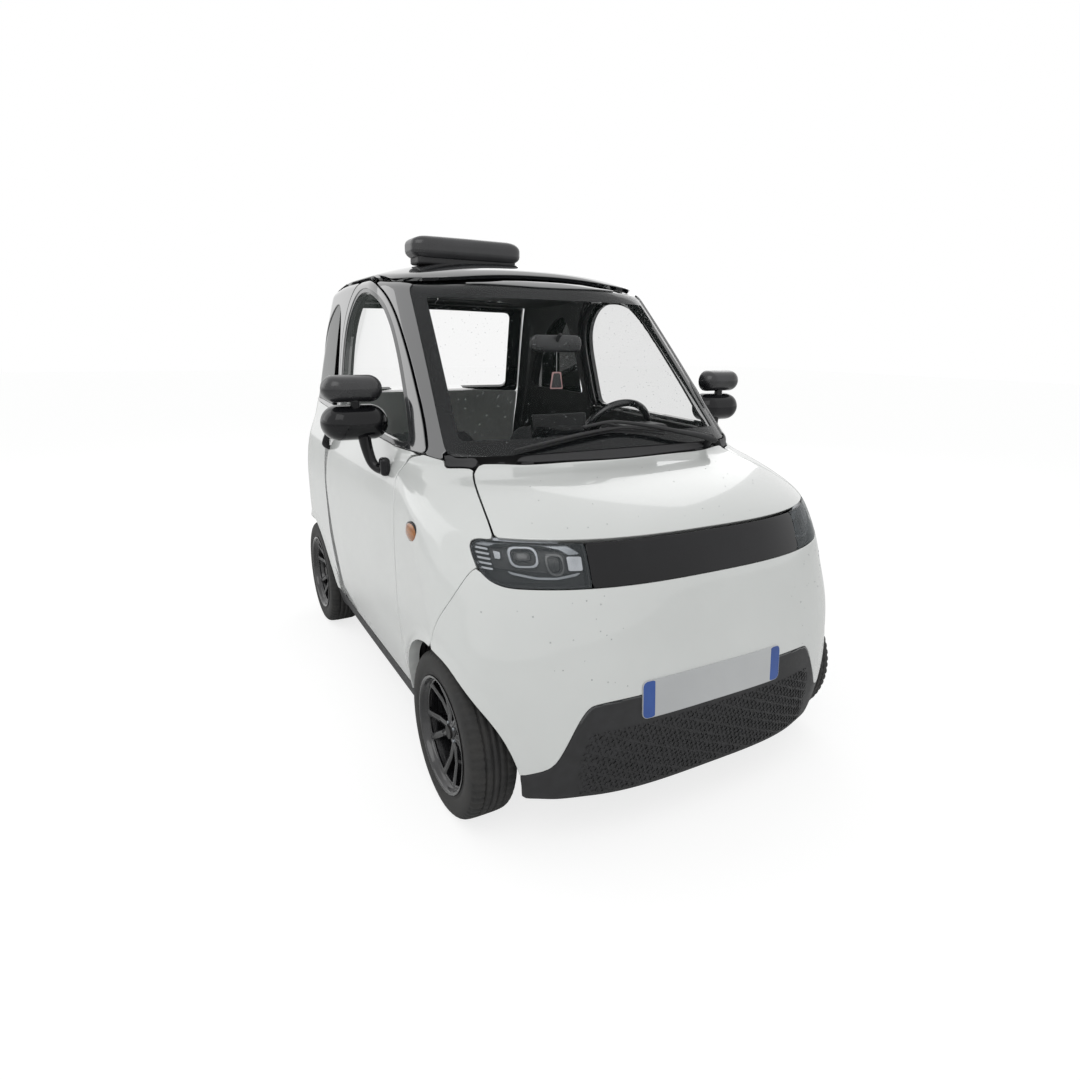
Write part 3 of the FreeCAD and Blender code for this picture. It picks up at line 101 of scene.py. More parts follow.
POWER = ((0.0718, 3.4), (0.299, 3.4), (0.4187, 3.2), (0.5084, 2.9), (0.5502, 2.7), (0.5861, 3.0), (0.622, 4.0),
         (1.0287, 4.0))
ROOF = ((-0.06, 0.865), (0.2, 0.87), (0.3265, 0.885), (0.3878, 0.9294), (0.4286, 0.9569),
        (0.4898, 0.985), (0.5714, 1.0), (0.6939, 0.9994), (0.8163, 0.985), (0.898, 0.9611), (0.9592, 0.927),
        (1.0204, 0.8804))


def scaled(pairs, offset, scale):
    return [(a * HEIGHT, offset + scale * b) for a, b in pairs]


nose = curve(scaled(NOSE, FRONT, -LENGTH))
tail = curve(scaled(TAIL, -FRONT, LENGTH))
side = curve(scaled(SIDE, 0, HALF))
depth_of = curve(scaled(DEPTH, 0, LENGTH))
power_of = curve(scaled(POWER, 0, 1))
roof_line = curve([(a, b * HEIGHT) for a, b in ROOF])
TAIL_CORNER, TAIL_POWER = 0.131 * LENGTH, 3.0
TAPER, TAPER_START = 0.035, FRONT - 0.53 * LENGTH
CROWN, CROWN_POWER = 0.078, 2.6


def taper(x):
    """The share of the half width left toward the tail."""
    return 1 - TAPER * (np.maximum(0, TAPER_START - x) / (TAPER_START + FRONT)) ** 2


def roof_z(x, y):
    return roof_line((FRONT - x) / LENGTH) - CROWN * (np.abs(y) / (0.8 * HALF)) ** CROWN_POWER


def wrap_level(p):
    """Below 0 inside the wrapped walls."""
    x, y, z = p[..., 0], p[..., 1], p[..., 2]
    reach = depth_of(z)
    ahead = np.maximum(x - (nose(z) - reach), 0) / reach
    behind = np.maximum(tail(z) + TAIL_CORNER - x, 0) / TAIL_CORNER
    power = np.where(behind > 0, TAIL_POWER, power_of(z))
    return ahead ** 2 + behind ** 2 + (np.abs(y) / (side(z) * taper(x))) ** power - 1


def wall_distance(p):
    """Rough distance to the wrapped walls, below 0 inside."""
    level = wrap_level(p)
    step = 1e-4
    slope = np.stack([(wrap_level(p + step * np.eye(3)[k]) - level) / step for k in range(3)], -1)
    return level / np.maximum(np.linalg.norm(slope, axis=-1), 1e-6)


CORNER_A, CORNER_B, HALF_GIRTH = 0.3, 0.73, 3.4


def wrap_rows(columns, levels):
    """Points of the walls: columns run from 0 at the nose to 1 (left) or -1 (right) at the tail."""
    columns = np.asarray(columns)
    away = np.abs(columns)
    points = np.empty((len(levels), len(columns), 3))
    for i, z in enumerate(levels):
        half, reach, power = float(side(z)), float(depth_of(z)), float(power_of(z))
        ends = []
        for centre, span, n, toward in ((float(nose(z)) - reach, reach, power, 1),
                                        (float(tail(z)) + TAIL_CORNER, TAIL_CORNER, TAIL_POWER, -1)):
            q = np.linspace(0, 0.9, 60)
            rest = np.linspace(math.asin(0.9 ** (n / 2)), math.pi / 2, 60)[1:]
            turn = np.concatenate([np.arcsin(q ** (n / 2)), rest])
            x = centre + toward * span * np.cos(turn)
            y = half * np.sin(turn) ** (2 / n)
            run = np.concatenate([[0], np.cumsum(np.hypot(np.diff(x), np.diff(y)))])
            ends.append((x, y, run / run[-1], centre))
        (xa, ya, ra, ca), (xb, yb, rb, cb) = ends
        u = np.clip(away / CORNER_A, 0, 1)
        v = np.clip((1 - away) / (1 - CORNER_B), 0, 1)
        w = np.clip((away - CORNER_A) / (CORNER_B - CORNER_A), 0, 1)
        parts = [away <= CORNER_A, away >= CORNER_B]
        x = np.select(parts, [np.interp(u, ra, xa), np.interp(v, rb, xb)], ca + (cb - ca) * w)
        y = np.select(parts, [np.interp(u, ra, ya), np.interp(v, rb, yb)], half)
        points[i, :, 0] = x
        points[i, :, 1] = y * taper(x) * np.sign(columns + (columns == 0))
        points[i, :, 2] = z
    return points


def surface_frame(p):
    """Unit normals, and the two grid tangents."""
    tu = np.gradient(p, axis=1)
    tv = np.gradient(p, axis=0)
    n = np.cross(tu, tv)
    n /= np.maximum(np.linalg.norm(n, axis=-1, keepdims=True), 1e-12)
    return n, tu, tv


def smooth(t):
    t = np.clip(t, 0, 1)
    return t * t * (3 - 2 * t)


def flared(p):
    """Raises a lip round the wheel openings, and fills the lower front corners out to them."""
    side_part = smooth((np.abs(p[..., 1]) - FLARE_SIDE) / FLARE_BLEND)
    out = 0
    for x in (FRONT_AXLE, REAR_AXLE):
        d = np.hypot(p[..., 0] - x, p[..., 2] - AXLE_Z) - ARCH
        out = out + LIP_HIGH * smooth(1 - d / LIP_WIDE)
        if x == FRONT_AXLE:
            out = out + FILL_HIGH * smooth(1 - d / FILL_WIDE) * smooth((p[..., 0] - FILL_START) / FILL_BLEND)
    p[..., 1] += np.sign(p[..., 1]) * out * side_part
    return p


def wall_grid(c0, c1, z0, z1, step=0.01):
    """Points of the walls between two columns and two heights, about a step apart."""
    fine = np.linspace(z0, z1, 400)
    end_curve = nose if min(abs(c0), abs(c1)) < CORNER_A else tail
    run = np.concatenate([[0], np.cumsum(np.hypot(np.diff(fine), np.diff(end_curve(fine))))])
    levels = np.interp(np.linspace(0, run[-1], max(8, int(run[-1] / step))), run, fine)
    columns = np.linspace(c0, c1, max(8, int(abs(c1 - c0) * HALF_GIRTH / step)))
    return flared(wrap_rows(columns, levels))


def rolled(room_left):
    """How far a fillet lowers the surface where so little room is left."""
    t = np.clip(FILLET + room_left, 0, FILLET)
    return FILLET - np.sqrt(np.maximum(FILLET ** 2 - t ** 2, 0))


def finish_wall(p, inset=0.0):
    """Rounds the walls over toward the roof and moves them inward. Returns points, normals, tangents, room left."""
    rise = p[..., 2] - roof_z(p[..., 0], p[..., 1])
    n = surface_frame(p)[0]
    flip = np.sign(np.sum(n * np.stack([p[..., 0], p[..., 1], 0 * p[..., 2]], -1), axis=-1))
    flip[flip == 0] = 1
    sign = 1 if np.median(flip) > 0 else -1
    q = p - n * sign * (rolled(rise) + inset)[..., None]
    n, tu, tv = surface_frame(q)
    return q, n * sign, tu, tv, rise + MEET


def roof_grid(x0, x1, y0, y1, step=0.015):
    """The roof, rounded over toward the walls. Returns what finish_wall does."""
    x, y = np.meshgrid(np.linspace(x0, x1, int(abs(x1 - x0) / step)), np.linspace(y0, y1, int(abs(y1 - y0) / step)))
    p = np.stack([x, y, roof_z(x, y)], -1)
    away = wall_distance(p)
    p[..., 2] -= rolled(away)
    n, tu, tv = surface_frame(p)
    return p, n * np.sign(np.median(n[..., 2])), tu, tv, away + MEET


# Panel outlines, as in the construction. A third value marks a tight corner.

DOOR = ((0.2931, 0.1567, 1), (0.289, 0.3349), (0.2882, 0.4187), (0.2898, 0.4922), (0.2988, 0.5413),
        (0.3127, 0.5891), (0.3086, 0.6136, 1), (0.2816, 0.622, 1), (0.3163, 0.6806), (0.3608, 0.75),
        (0.4053, 0.814), (0.458, 0.8828), (0.5029, 0.9252), (0.5571, 0.9522), (0.6204, 0.951), (0.6673, 0.9121),
        (0.6922, 0.8373), (0.6816, 0.7177), (0.6694, 0.64, 1), (0.6824, 0.5682), (0.6898, 0.4904),
        (0.6816, 0.4127), (0.6629, 0.3349), (0.6547, 0.2632), (0.6547, 0.1567, 1))
DOOR_WINDOW = ((0.3192, 0.6364, 1), (0.3388, 0.6722), (0.3796, 0.7416), (0.4204, 0.805), (0.4604, 0.8589),
               (0.5016, 0.9001), (0.5571, 0.924), (0.6163, 0.9211), (0.6551, 0.8792), (0.6702, 0.8224),
               (0.662, 0.7297), (0.6514, 0.6495, 1))
QUARTER_GLASS = ((0.6808, 0.6579, 1), (0.6939, 0.7476), (0.7082, 0.8493), (0.7245, 0.9019), (0.7592, 0.9091),
                 (0.8122, 0.8672), (0.8571, 0.7955), (0.8837, 0.7177), (0.8918, 0.6651, 1))
BELT = ((-0.0082, 0.6124, 1), (0.2596, 0.6124, 1), (0.2816, 0.6202), (0.3086, 0.6256), (0.6694, 0.6411),
        (0.898, 0.6567), (1.0245, 0.6615, 1), (1.0245, 1.0467, 1), (-0.0082, 1.0467, 1))
FRONT_BUMPER = ((-0.0163, 0.0598, 1), (-0.0163, 0.4844, 1), (0.111, 0.4856, 1), (0.1249, 0.4282),
                (0.1469, 0.3804), (0.1633, 0.3349, 1), (0.1633, 0.0598, 1))
REAR_BUMPER = ((1.0204, 0.0598, 1), (1.0204, 0.3648, 1), (0.9735, 0.366), (0.9449, 0.3349), (0.9306, 0.2811, 1),
               (0.9306, 0.0598, 1))
HALF_BAND = ((0.0, 0.5221), (0.8806, 0.5221, 1), (0.8806, 0.4785), (0.8333, 0.4563), (0.7222, 0.4563), (0.0, 0.4528))
HALF_GRILLE = ((0.0, 0.2739), (0.5347, 0.2739), (0.5903, 0.2632), (0.6639, 0.1992), (0.7042, 0.1651),
               (0.7778, 0.1531), (0.9722, 0.1328, 1), (0.9722, 0.0598, 1), (0.0, 0.0598))
HALF_SCREEN = ((0.0, 0.9354), (0.6875, 0.9342, 1), (0.7361, 0.7775), (0.7819, 0.6196, 1), (0.4167, 0.6226),
               (0.0, 0.6232))
HALF_TAILGATE = ((0.0, 0.9426), (0.6667, 0.936, 1), (0.7014, 0.8074), (0.7292, 0.6639), (0.7361, 0.5383),
                 (0.7292, 0.3828, 1), (0.0, 0.3828))
HALF_TAIL_GLASS = ((0.0, 0.9211), (0.5833, 0.9151, 1), (0.6111, 0.8074), (0.6319, 0.6788, 1), (0.0, 0.6746))
TAIL_LAMP = ((0.7778, 0.4187, 1), (0.9028, 0.4187, 1), (0.9028, 0.5891, 1), (0.7778, 0.5891, 1))
HALF_BONNET = ((0.2082, 0.0), (0.2106, 0.2778), (0.2151, 0.4708), (0.2286, 0.6111), (0.2392, 0.6917, 1),
               (0.2196, 0.725), (0.1788, 0.7639), (0.1412, 0.7903), (0.1061, 0.8111, 1), (-0.0082, 0.8611, 1),
               (-0.0082, 0.0))
HALF_ROOF = ((0.4196, 0.0), (0.4245, 0.3472), (0.4408, 0.5556), (0.4653, 0.6806), (0.5102, 0.7431),
             (0.6531, 0.7611), (0.7959, 0.7431), (0.8816, 0.6944), (0.9143, 0.5556), (0.9216, 0.2778), (0.9224, 0.0))
HALF_COWL = ((0.1878, 0.0), (0.1878, 0.5, 1), (0.236, 0.7, 1), (0.25, 0.765, 1), (0.258, 0.8, 1),
             (0.2857, 0.7778, 1), (0.2857, 0.0))
COWL_TOP, SILL_TOP, LAMP_SHARE = 0.6232 * HEIGHT, 0.1531 * HEIGHT, 0.53
LAMP_EDGE = LAMP_SHARE * HALF


def softened(corners, radius):
    """A closed outline with its corners rounded by one radius, or by one each."""
    corners = np.array(corners, float)
    dense = []
    for k, (here, reach) in enumerate(zip(corners, np.broadcast_to(radius, len(corners)))):
        before, after = corners[k - 1] - here, corners[(k + 1) % len(corners)] - here
        la, lb = np.linalg.norm(before), np.linalg.norm(after)
        a = here + before * min(reach, la / 2) / la
        b = here + after * min(reach, lb / 2) / lb
        for t in np.linspace(0, 1, 7):
            dense.append(a * (1 - t) ** 2 + 2 * here * t * (1 - t) + b * t * t)
    return np.array(dense)


def outline(shares, view):
    """Dense points of a panel's outline. Front and plan outlines are mirrored across the middle."""
    across = {"front": 0, "plan": 1}.get(view)
    if across is not None and any(p[across] == 0 for p in shares):
        other = [list(p) for p in reversed(shares) if p[across] > 0]
        for p in other:
            p[across] = -p[across]
        shares = list(shares) + other
    places = {"front": lambda a, b: (a * HALF, b * HEIGHT),
              "side": lambda a, b: (FRONT - a * LENGTH, b * HEIGHT),
              "plan": lambda a, b: (FRONT - a * LENGTH, b * HALF)}
    return softened([places[view](*p[:2]) for p in shares], [0.03 if len(p) == 3 else np.inf for p in shares])


def distance(points, poly):
    """Signed distance to a closed outline, below 0 inside."""
    flat = points.reshape(-1, 2)
    a = poly
    b = np.roll(poly, -1, axis=0)
    keep = np.linalg.norm(b - a, axis=1) > 1e-7
    a, b = a[keep], b[keep]
    out = np.empty(len(flat))
    d = b - a
    dd = np.sum(d * d, axis=1)
    for s in range(0, len(flat), 3000):
        q = flat[s:s + 3000, None, :]
        t = np.clip(np.sum((q - a) * d, axis=2) / dd, 0, 1)
        near = np.min(np.sum((q - a - t[..., None] * d) ** 2, axis=2), axis=1)
        cross = ((a[:, 1] > q[..., 1]) != (b[:, 1] > q[..., 1]))
        xs = a[:, 0] + (q[..., 1] - a[:, 1]) * d[:, 0] / np.where(np.abs(d[:, 1]) < 1e-12, 1e-12, d[:, 1])
        inside = np.sum(cross & (q[..., 0] < xs), axis=1) % 2 == 1
        out[s:s + 3000] = np.sqrt(near) * np.where(inside, -1, 1)
    return out.reshape(points.shape[:-1])


VIEW_AXES = {"side": [0, 2], "front": [1, 2], "plan": [0, 1]}


def inside_all(*fields):
    return np.maximum.reduce(fields)


def room(p, shares, view):
    return distance(p[..., VIEW_AXES[view]], outline(shares, view))


def zone(shares, view, *limits):
    """A function that is below 0 inside an outline and all limits."""
    return lambda p: inside_all(room(p, shares, view), *[limit(p) for limit in limits])


def ahead_of(x):
    return lambda p: x - p[..., 0]


def behind(x):
    return lambda p: p[..., 0] - x


def below(z):
    return lambda p: p[..., 2] - z


def above(z):
    return lambda p: z - p[..., 2]


def arch_room(p):
    """Below 0 in the open wheel arches."""
    d = [np.hypot(p[..., 0] - x, p[..., 2] - AXLE_Z) - ARCH for x in (FRONT_AXLE, REAR_AXLE)]
    return np.maximum(np.minimum(*d), ARCH_INNER_Y - np.abs(p[..., 1]))


def lamp_room(p):
    """Below 0 in both tail lamps."""
    both = [room(p * np.array([1, side_sign, 1]), TAIL_LAMP, "front") for side_sign in (1, -1)]
    return inside_all(np.minimum(*both), p[..., 0] - REAR_AXLE)


def half(sign):
    """A limit that keeps a panel on one side of the middle."""
    return lambda p: -sign * p[..., 1]


def within(axis, reach):
    """A limit that lets a panel reach so far to both sides of the middle."""
    return lambda p: np.abs(p[..., axis]) - reach


def grown(own, more):
    """A limit that lets a panel reach so far past its zone."""
    return lambda p: own(p) - more


def along(own, reach):
    """A limit that leaves a strip along the edge of a zone."""
    return lambda p: np.abs(own(p)) - reach


def off(neighbour, gap=0):
    """A limit that keeps a gap from a neighbour."""
    return lambda p: gap - neighbour(p)


def bounded(surface, limits, gap=(), seam=(), top=None):
    """Below 0 inside the limits, a gap or a seam away from neighbours and, with a top, under the roof's fillet."""
    p = surface[0]
    fields = [limit(p) for limit in limits]
    fields += [GAP - neighbour(p) for neighbour in gap] + [SEAM - neighbour(p) for neighbour in seam]
    if top is not None:
        fields.append(surface[4] + top)
    return inside_all(*fields)


BAND_LOW = HALF_BAND[0][1] * HEIGHT
NOSE_END = 0.3
door_room, belt_room = zone(DOOR, "side"), zone(BELT, "side")
door_window_room, quarter_glass_room = zone(DOOR_WINDOW, "side"), zone(QUARTER_GLASS, "side")
bumper_room, rear_bumper_room = zone(FRONT_BUMPER, "side"), zone(REAR_BUMPER, "side")
bonnet_room = zone(HALF_BONNET, "plan", above(BAND_LOW + 0.004), below(HEIGHT), ahead_of(NOSE_END))
cowl_room = zone(HALF_COWL, "plan", above(BAND_LOW), below(COWL_TOP))
screen_room, band_room = zone(HALF_SCREEN, "front", ahead_of(0)), zone(HALF_BAND, "front", ahead_of(0))
grille_room = zone(HALF_GRILLE, "front", ahead_of(FRONT_AXLE))
tailgate_room = zone(HALF_TAILGATE, "front", behind(REAR_AXLE))
tail_glass_room = zone(HALF_TAIL_GLASS, "front", behind(REAR_AXLE))
roof_room = zone(HALF_ROOF, "plan", above(COWL_TOP))
low_room, sill_room, arch_free = above(FLOOR), below(SILL_TOP), off(arch_room)


# Meshes

def new_object(name, verts, faces, normals=None, material=None, smoothed=True, body=CHASSIS, slot=None, nodes=()):
    """A mesh of one material that moves with its body and takes the place of the CAD nodes named."""
    mesh = bpy.data.meshes.new(name)
    mesh.from_pydata([tuple(v) for v in verts], [], [tuple(f) for f in faces])
    mesh.update()
    if smoothed:
        mesh.shade_smooth()
    if normals is not None:
        mesh.normals_split_custom_set_from_vertices([tuple(n) for n in normals])
    obj = bpy.data.objects.new(name, mesh)
    bpy.context.scene.collection.objects.link(obj)
    obj.data.materials.append(material)
    if body:
        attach(obj, body)
    if nodes:
        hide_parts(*nodes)
    return obj


def tube_faces(rows, count, flip=False):
    """Quads between rows of points that each close on themselves."""
    faces = []
    for k in range(rows - 1):
        for i in range(count):
            j = (i + 1) % count
            face = [k * count + i, k * count + j, (k + 1) * count + j, (k + 1) * count + i]
            faces.append(face[::-1] if flip else face)
    return faces


def sheet_mesh(surface, field, depth, round_edge=0.0025, closed=False):
    """Cuts a grid along a field and gives it rolled edges that run inward."""
    p, n, tu, tv = surface[:4]
    f = field + round_edge
    e, g, h = np.sum(tu * tu, -1), np.sum(tu * tv, -1), np.sum(tv * tv, -1)
    fu, fv = np.gradient(f, axis=1), np.gradient(f, axis=0)
    det = np.maximum(e * h - g * g, 1e-18)
    out = ((h * fu - g * fv) / det)[..., None] * tu + ((e * fv - g * fu) / det)[..., None] * tv
    out /= np.maximum(np.linalg.norm(out, axis=-1, keepdims=True), 1e-9)
    inside = f < 0
    index = np.full(f.shape, -1)
    index[inside] = np.arange(inside.sum())
    verts, norms = list(p[inside]), list(n[inside])
    corner = [inside[:-1, :-1], inside[:-1, 1:], inside[1:, 1:], inside[1:, :-1]]
    full = corner[0] & corner[1] & corner[2] & corner[3]
    some = (corner[0] | corner[1] | corner[2] | corner[3]) & ~full
    faces = [list(q) for q in np.stack([index[:-1, :-1], index[:-1, 1:], index[1:, 1:], index[1:, :-1]], -1)[full]]
    cut, rim = {}, {}
    for i, j in np.argwhere(some):
        ring = [(i, j), (i, j + 1), (i + 1, j + 1), (i + 1, j)]
        poly = []
        for k in range(4):
            a, b = ring[k], ring[(k + 1) % 4]
            if f[a] < 0:
                poly.append(int(index[a]))
            if (f[a] < 0) != (f[b] < 0):
                key = (a, b) if a < b else (b, a)
                if key not in cut:
                    t = min(max(f[key[0]] / (f[key[0]] - f[key[1]]), 0.02), 0.98)
                    cut[key] = len(verts)
                    verts.append(p[key[0]] * (1 - t) + p[key[1]] * t)
                    m = n[key[0]] * (1 - t) + n[key[1]] * t
                    norms.append(m / np.linalg.norm(m))
                    o = out[key[0]] * (1 - t) + out[key[1]] * t
                    rim[cut[key]] = o
                poly.append(cut[key])
        if len(poly) >= 3:
            faces.append(poly)
    if np.sum(np.cross(tu, tv) * n) < 0:
        faces = [face[::-1] for face in faces]
    edges = {edge: None for face in faces for edge in zip(face, face[1:] + face[:1])}
    open_edges = [(a, b) for a, b in edges if (b, a) not in edges]
    base = len(verts)
    if depth > 0 and open_edges:
        used = sorted({v for edge in open_edges for v in edge})
        order = {v: k for k, v in enumerate(used)}
        rings = []
        for a in (math.pi / 6, math.pi / 3, math.pi / 2):
            rings.append(len(verts))
            for v in used:
                o, m = rim.get(v, np.zeros(3)), norms[v]
                o = o - m * np.dot(o, m)
                size = np.linalg.norm(o)
                o = o / size if size > 1e-6 else o
                verts.append(verts[v] + o * round_edge * math.sin(a) - m * round_edge * (1 - math.cos(a)))
                k = m * math.cos(a) + o * math.sin(a)
                norms.append(k / max(np.linalg.norm(k), 1e-9))
        rings.append(len(verts))
        for v in used:
            last = rings[-2] + order[v]
            verts.append(verts[last] - norms[v] * depth)
            norms.append(norms[last])
        for a, b in open_edges:
            before = (a, b)
            for start in rings:
                now = (start + order[a], start + order[b])
                faces.append([before[1], before[0], now[0], now[1]])
                before = now
        if closed:
            start = len(verts)
            for v in range(base):
                verts.append(verts[v] - norms[v] * (depth + round_edge))
                norms.append(-norms[v])
            faces.extend([[start + v for v in reversed(face)] for face in faces if max(face) < base])
            for a, b in open_edges:
                faces.append([rings[-1] + order[b], rings[-1] + order[a], start + a, start + b])
    return verts, faces, norms


def panel(name, surface, field, material, body=CHASSIS, nodes=(), slot=None, **shape):
    verts, faces, norms = sheet_mesh(surface, field, **shape)
    if not faces:
        raise RuntimeError("empty panel " + name)
    return new_object(name, verts, faces, norms, material, body=body, slot=slot, nodes=nodes)


def skin(name, area, limits, material, body=CHASSIS, nodes=(), slot=None, gap=(), seam=(), top=None, inset=0.0,
         **shape):
    """A panel on the walls, between two columns and two heights."""
    surface = finish_wall(wall_grid(*area), inset)
    return panel(name, surface, bounded(surface, limits, gap, seam, top), material, body, nodes, slot, **shape)


# Materials

def feed(node, inputs):
    """Sets a shader node's inputs: a socket is linked, anything else is a value."""
    for key, value in inputs.items():
        if isinstance(value, bpy.types.NodeSocket):
            node.id_data.links.new(value, node.inputs[key])
        else:
            node.inputs[key].default_value = value
    return node


def add(tree, kind, inputs=None, operation=None):
    node = tree.nodes.new("ShaderNode" + kind)
    if operation:
        node.operation = operation
    return feed(node, inputs or {})


def new_material(name):
    mat = bpy.data.materials.new(name)
    mat.use_nodes = True
    return mat, mat.node_tree, mat.node_tree.nodes["Principled BSDF"]


def noise(tree, scale, detail=3):
    place = add(tree, "TexCoord").outputs["Object"]
    return add(tree, "TexNoise", {"Scale": scale, "Detail": detail, "Roughness": 0.5, "Vector": place}).outputs["Fac"]


def ramp(tree, source, stops):
    """Colours from a value, between two stops."""
    node = add(tree, "ValToRGB", {"Fac": source})
    for element, (at, colour) in zip(node.color_ramp.elements, stops):
        element.position = at
        element.color = tuple(colour) + (1,)
    return node.outputs["Color"]


def mottled(name, dark, light, scale, rough, metal=0.0, coat=0.0, bump_scale=None, bump_depth=0.0002, spread=0.08,
            more=None):
    """A material whose colour and roughness wander a little between two values."""
    mat, tree, bsdf = new_material(name)
    wander = noise(tree, scale)
    lo, hi = max(rough - spread, 0.02), rough + spread
    feed(bsdf, {"Base Color": ramp(tree, wander, ((0.35, dark), (0.65, light))),
                "Roughness": ramp(tree, wander, ((0.3, (lo,) * 3), (0.7, (hi,) * 3))),
                "Metallic": metal, "Coat Weight": coat, "Coat Roughness": 0.03, **(more or {})})
    if bump_scale:
        grain = add(tree, "Bump", {"Strength": 0.6, "Distance": bump_depth, "Height": noise(tree, bump_scale, 2)})
        feed(bsdf, {"Normal": grain.outputs["Normal"]})
    return mat


def glass(name, tint, clear, rough=0.02, rim=1.0):
    """Thin glass: nearly clear seen straight on, and mirroring toward the edge of sight."""
    mat, tree, bsdf = new_material(name)
    edge_on = add(tree, "LayerWeight", {"Blend": 0.35}).outputs["Fresnel"]
    light = [min(1, c * 1.15) for c in tint]
    feed(bsdf, {"Base Color": ramp(tree, noise(tree, 3), ((0.3, tint), (0.7, light))), "Roughness": rough,
                "Alpha": ramp(tree, edge_on, ((0.0, (clear,) * 3), (1.0, (rim,) * 3)))})
    return mat


PAINT = mottled("white_paint", (0.7, 0.715, 0.705), (0.74, 0.755, 0.745), 2.0, 0.22, coat=1.0, spread=0.03,
                bump_scale=900, bump_depth=0.00003)
GLOSS = mottled("gloss_black", (0.006, 0.006, 0.007), (0.012, 0.012, 0.014), 4.0, 0.1, coat=0.2, spread=0.03,
                more={"Specular IOR Level": 0.2})
TRIM = mottled("frame_grey", (0.035, 0.036, 0.038), (0.05, 0.052, 0.055), 5.0, 0.16, coat=0.6, spread=0.03)
MATT = mottled("matt_black", (0.012, 0.012, 0.013), (0.022, 0.022, 0.024), 30.0, 0.55, bump_scale=900,
               bump_depth=0.0003)
INNER = mottled("inner_black", (0.01, 0.01, 0.011), (0.018, 0.018, 0.02), 14.0, 0.7, bump_scale=500,
                bump_depth=0.0003)
PILLAR = mottled("pillar_black", (0.008, 0.009, 0.011), (0.014, 0.016, 0.019), 4.0, 0.1, coat=1.0, spread=0.03,
                 more={"Coat IOR": 2.3})
SCREEN = glass("screen_glass", (0.1, 0.13, 0.12), 0.03, rim=0.16)
DOOR_GLASS = glass("door_glass", (0.16, 0.22, 0.19), 0.06, rim=0.22)
DARK_GLASS = glass("dark_glass", (0.02, 0.025, 0.024), 0.86)
TAIL_GLASS = glass("tail_glass", (0.1, 0.12, 0.12), 0.03, rim=0.2)
CHROME = mottled("lamp_chrome", (0.34, 0.36, 0.38), (0.5, 0.52, 0.55), 12.0, 0.16, metal=1.0)
SILVER = mottled("lamp_silver", (0.24, 0.26, 0.28), (0.36, 0.38, 0.41), 8.0, 0.3, metal=0.6, coat=0.4)
LENS = glass("lamp_lens", (0.3, 0.33, 0.35), 0.1)
AMBER = mottled("amber_lens", (0.28, 0.085, 0.008), (0.38, 0.13, 0.015), 60.0, 0.15, coat=1.0)
RED = mottled("red_lens", (0.3, 0.01, 0.012), (0.42, 0.02, 0.022), 30.0, 0.16, coat=1.0)
STEEL = mottled("chassis_steel", (0.018, 0.018, 0.018), (0.04, 0.038, 0.036), 18.0, 0.55, metal=0.3, bump_scale=260)
ALLOY = mottled("black_alloy", (0.008, 0.008, 0.009), (0.016, 0.016, 0.018), 12.0, 0.25, metal=0.2, coat=0.8)
CASE = mottled("battery_case", (0.16, 0.17, 0.18), (0.22, 0.23, 0.24), 12.0, 0.45, metal=0.7, bump_scale=200)
PLATE = mottled("plate_face", (0.5, 0.51, 0.52), (0.56, 0.57, 0.58), 3.0, 0.4, coat=0.2)
BLUE = mottled("plate_blue", (0.02, 0.07, 0.3), (0.03, 0.1, 0.38), 9.0, 0.35, coat=0.2)
BRAKE = mottled("brake_steel", (0.16, 0.16, 0.17), (0.26, 0.26, 0.27), 16.0, 0.38, metal=0.9)
MIRROR = mottled("mirror_glass", (0.6, 0.63, 0.66), (0.66, 0.69, 0.72), 3.0, 0.05, metal=1.0, spread=0.01)
SATIN = mottled("satin_black", (0.016, 0.016, 0.018), (0.026, 0.026, 0.029), 12.0, 0.3, coat=0.3, bump_scale=700,
                bump_depth=0.0001)
FABRIC = mottled("seat_fabric", (0.03, 0.031, 0.034), (0.06, 0.061, 0.065), 90.0, 0.85, bump_scale=1200,
                 bump_depth=0.0006)
ROSE = mottled("rose_frame", (0.5, 0.28, 0.28), (0.62, 0.38, 0.37), 30.0, 0.45, coat=0.3)
WATER = glass("water_drop", (0.55, 0.58, 0.6), 0.28, 0.03)
TYRE = mottled("tyre_rubber", (0.014, 0.014, 0.014), (0.03, 0.029, 0.028), 22.0, 0.72, bump_scale=420,
               bump_depth=0.0004)

for name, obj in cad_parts.items():
    obj.data.materials.clear()
    if name.startswith("tyre"):
        obj.data.materials.append(TYRE)
    elif name.startswith("wheel_h") or name in ("floor_pan", "cabin_frame"):
        obj.data.materials.append(INNER)
    elif name.startswith("wheel_"):
        obj.data.materials.append(ALLOY)
    elif name in ("front_subframe", "rear_axle", "knuckle_left", "knuckle_right"):
        obj.data.materials.append(STEEL)
    elif name == "battery_pack":
        obj.data.materials.append(CASE)
    else:
        obj.data.materials.append(MATT)

# Body panels

FENDER_END, FENDER_TOP = FRONT - 0.3265 * LENGTH, 0.634 * HEIGHT
QUARTER_START, SILL_END, TAIL_SPLIT = FRONT - 0.63 * LENGTH, 0.83, 0.665 * HEIGHT
under_split = below(TAIL_SPLIT)
SKIN = dict(depth=0.034)
SHUT_SKIN = dict(depth=0.034, closed=True)
PANE = dict(inset=0.004, depth=0.0)

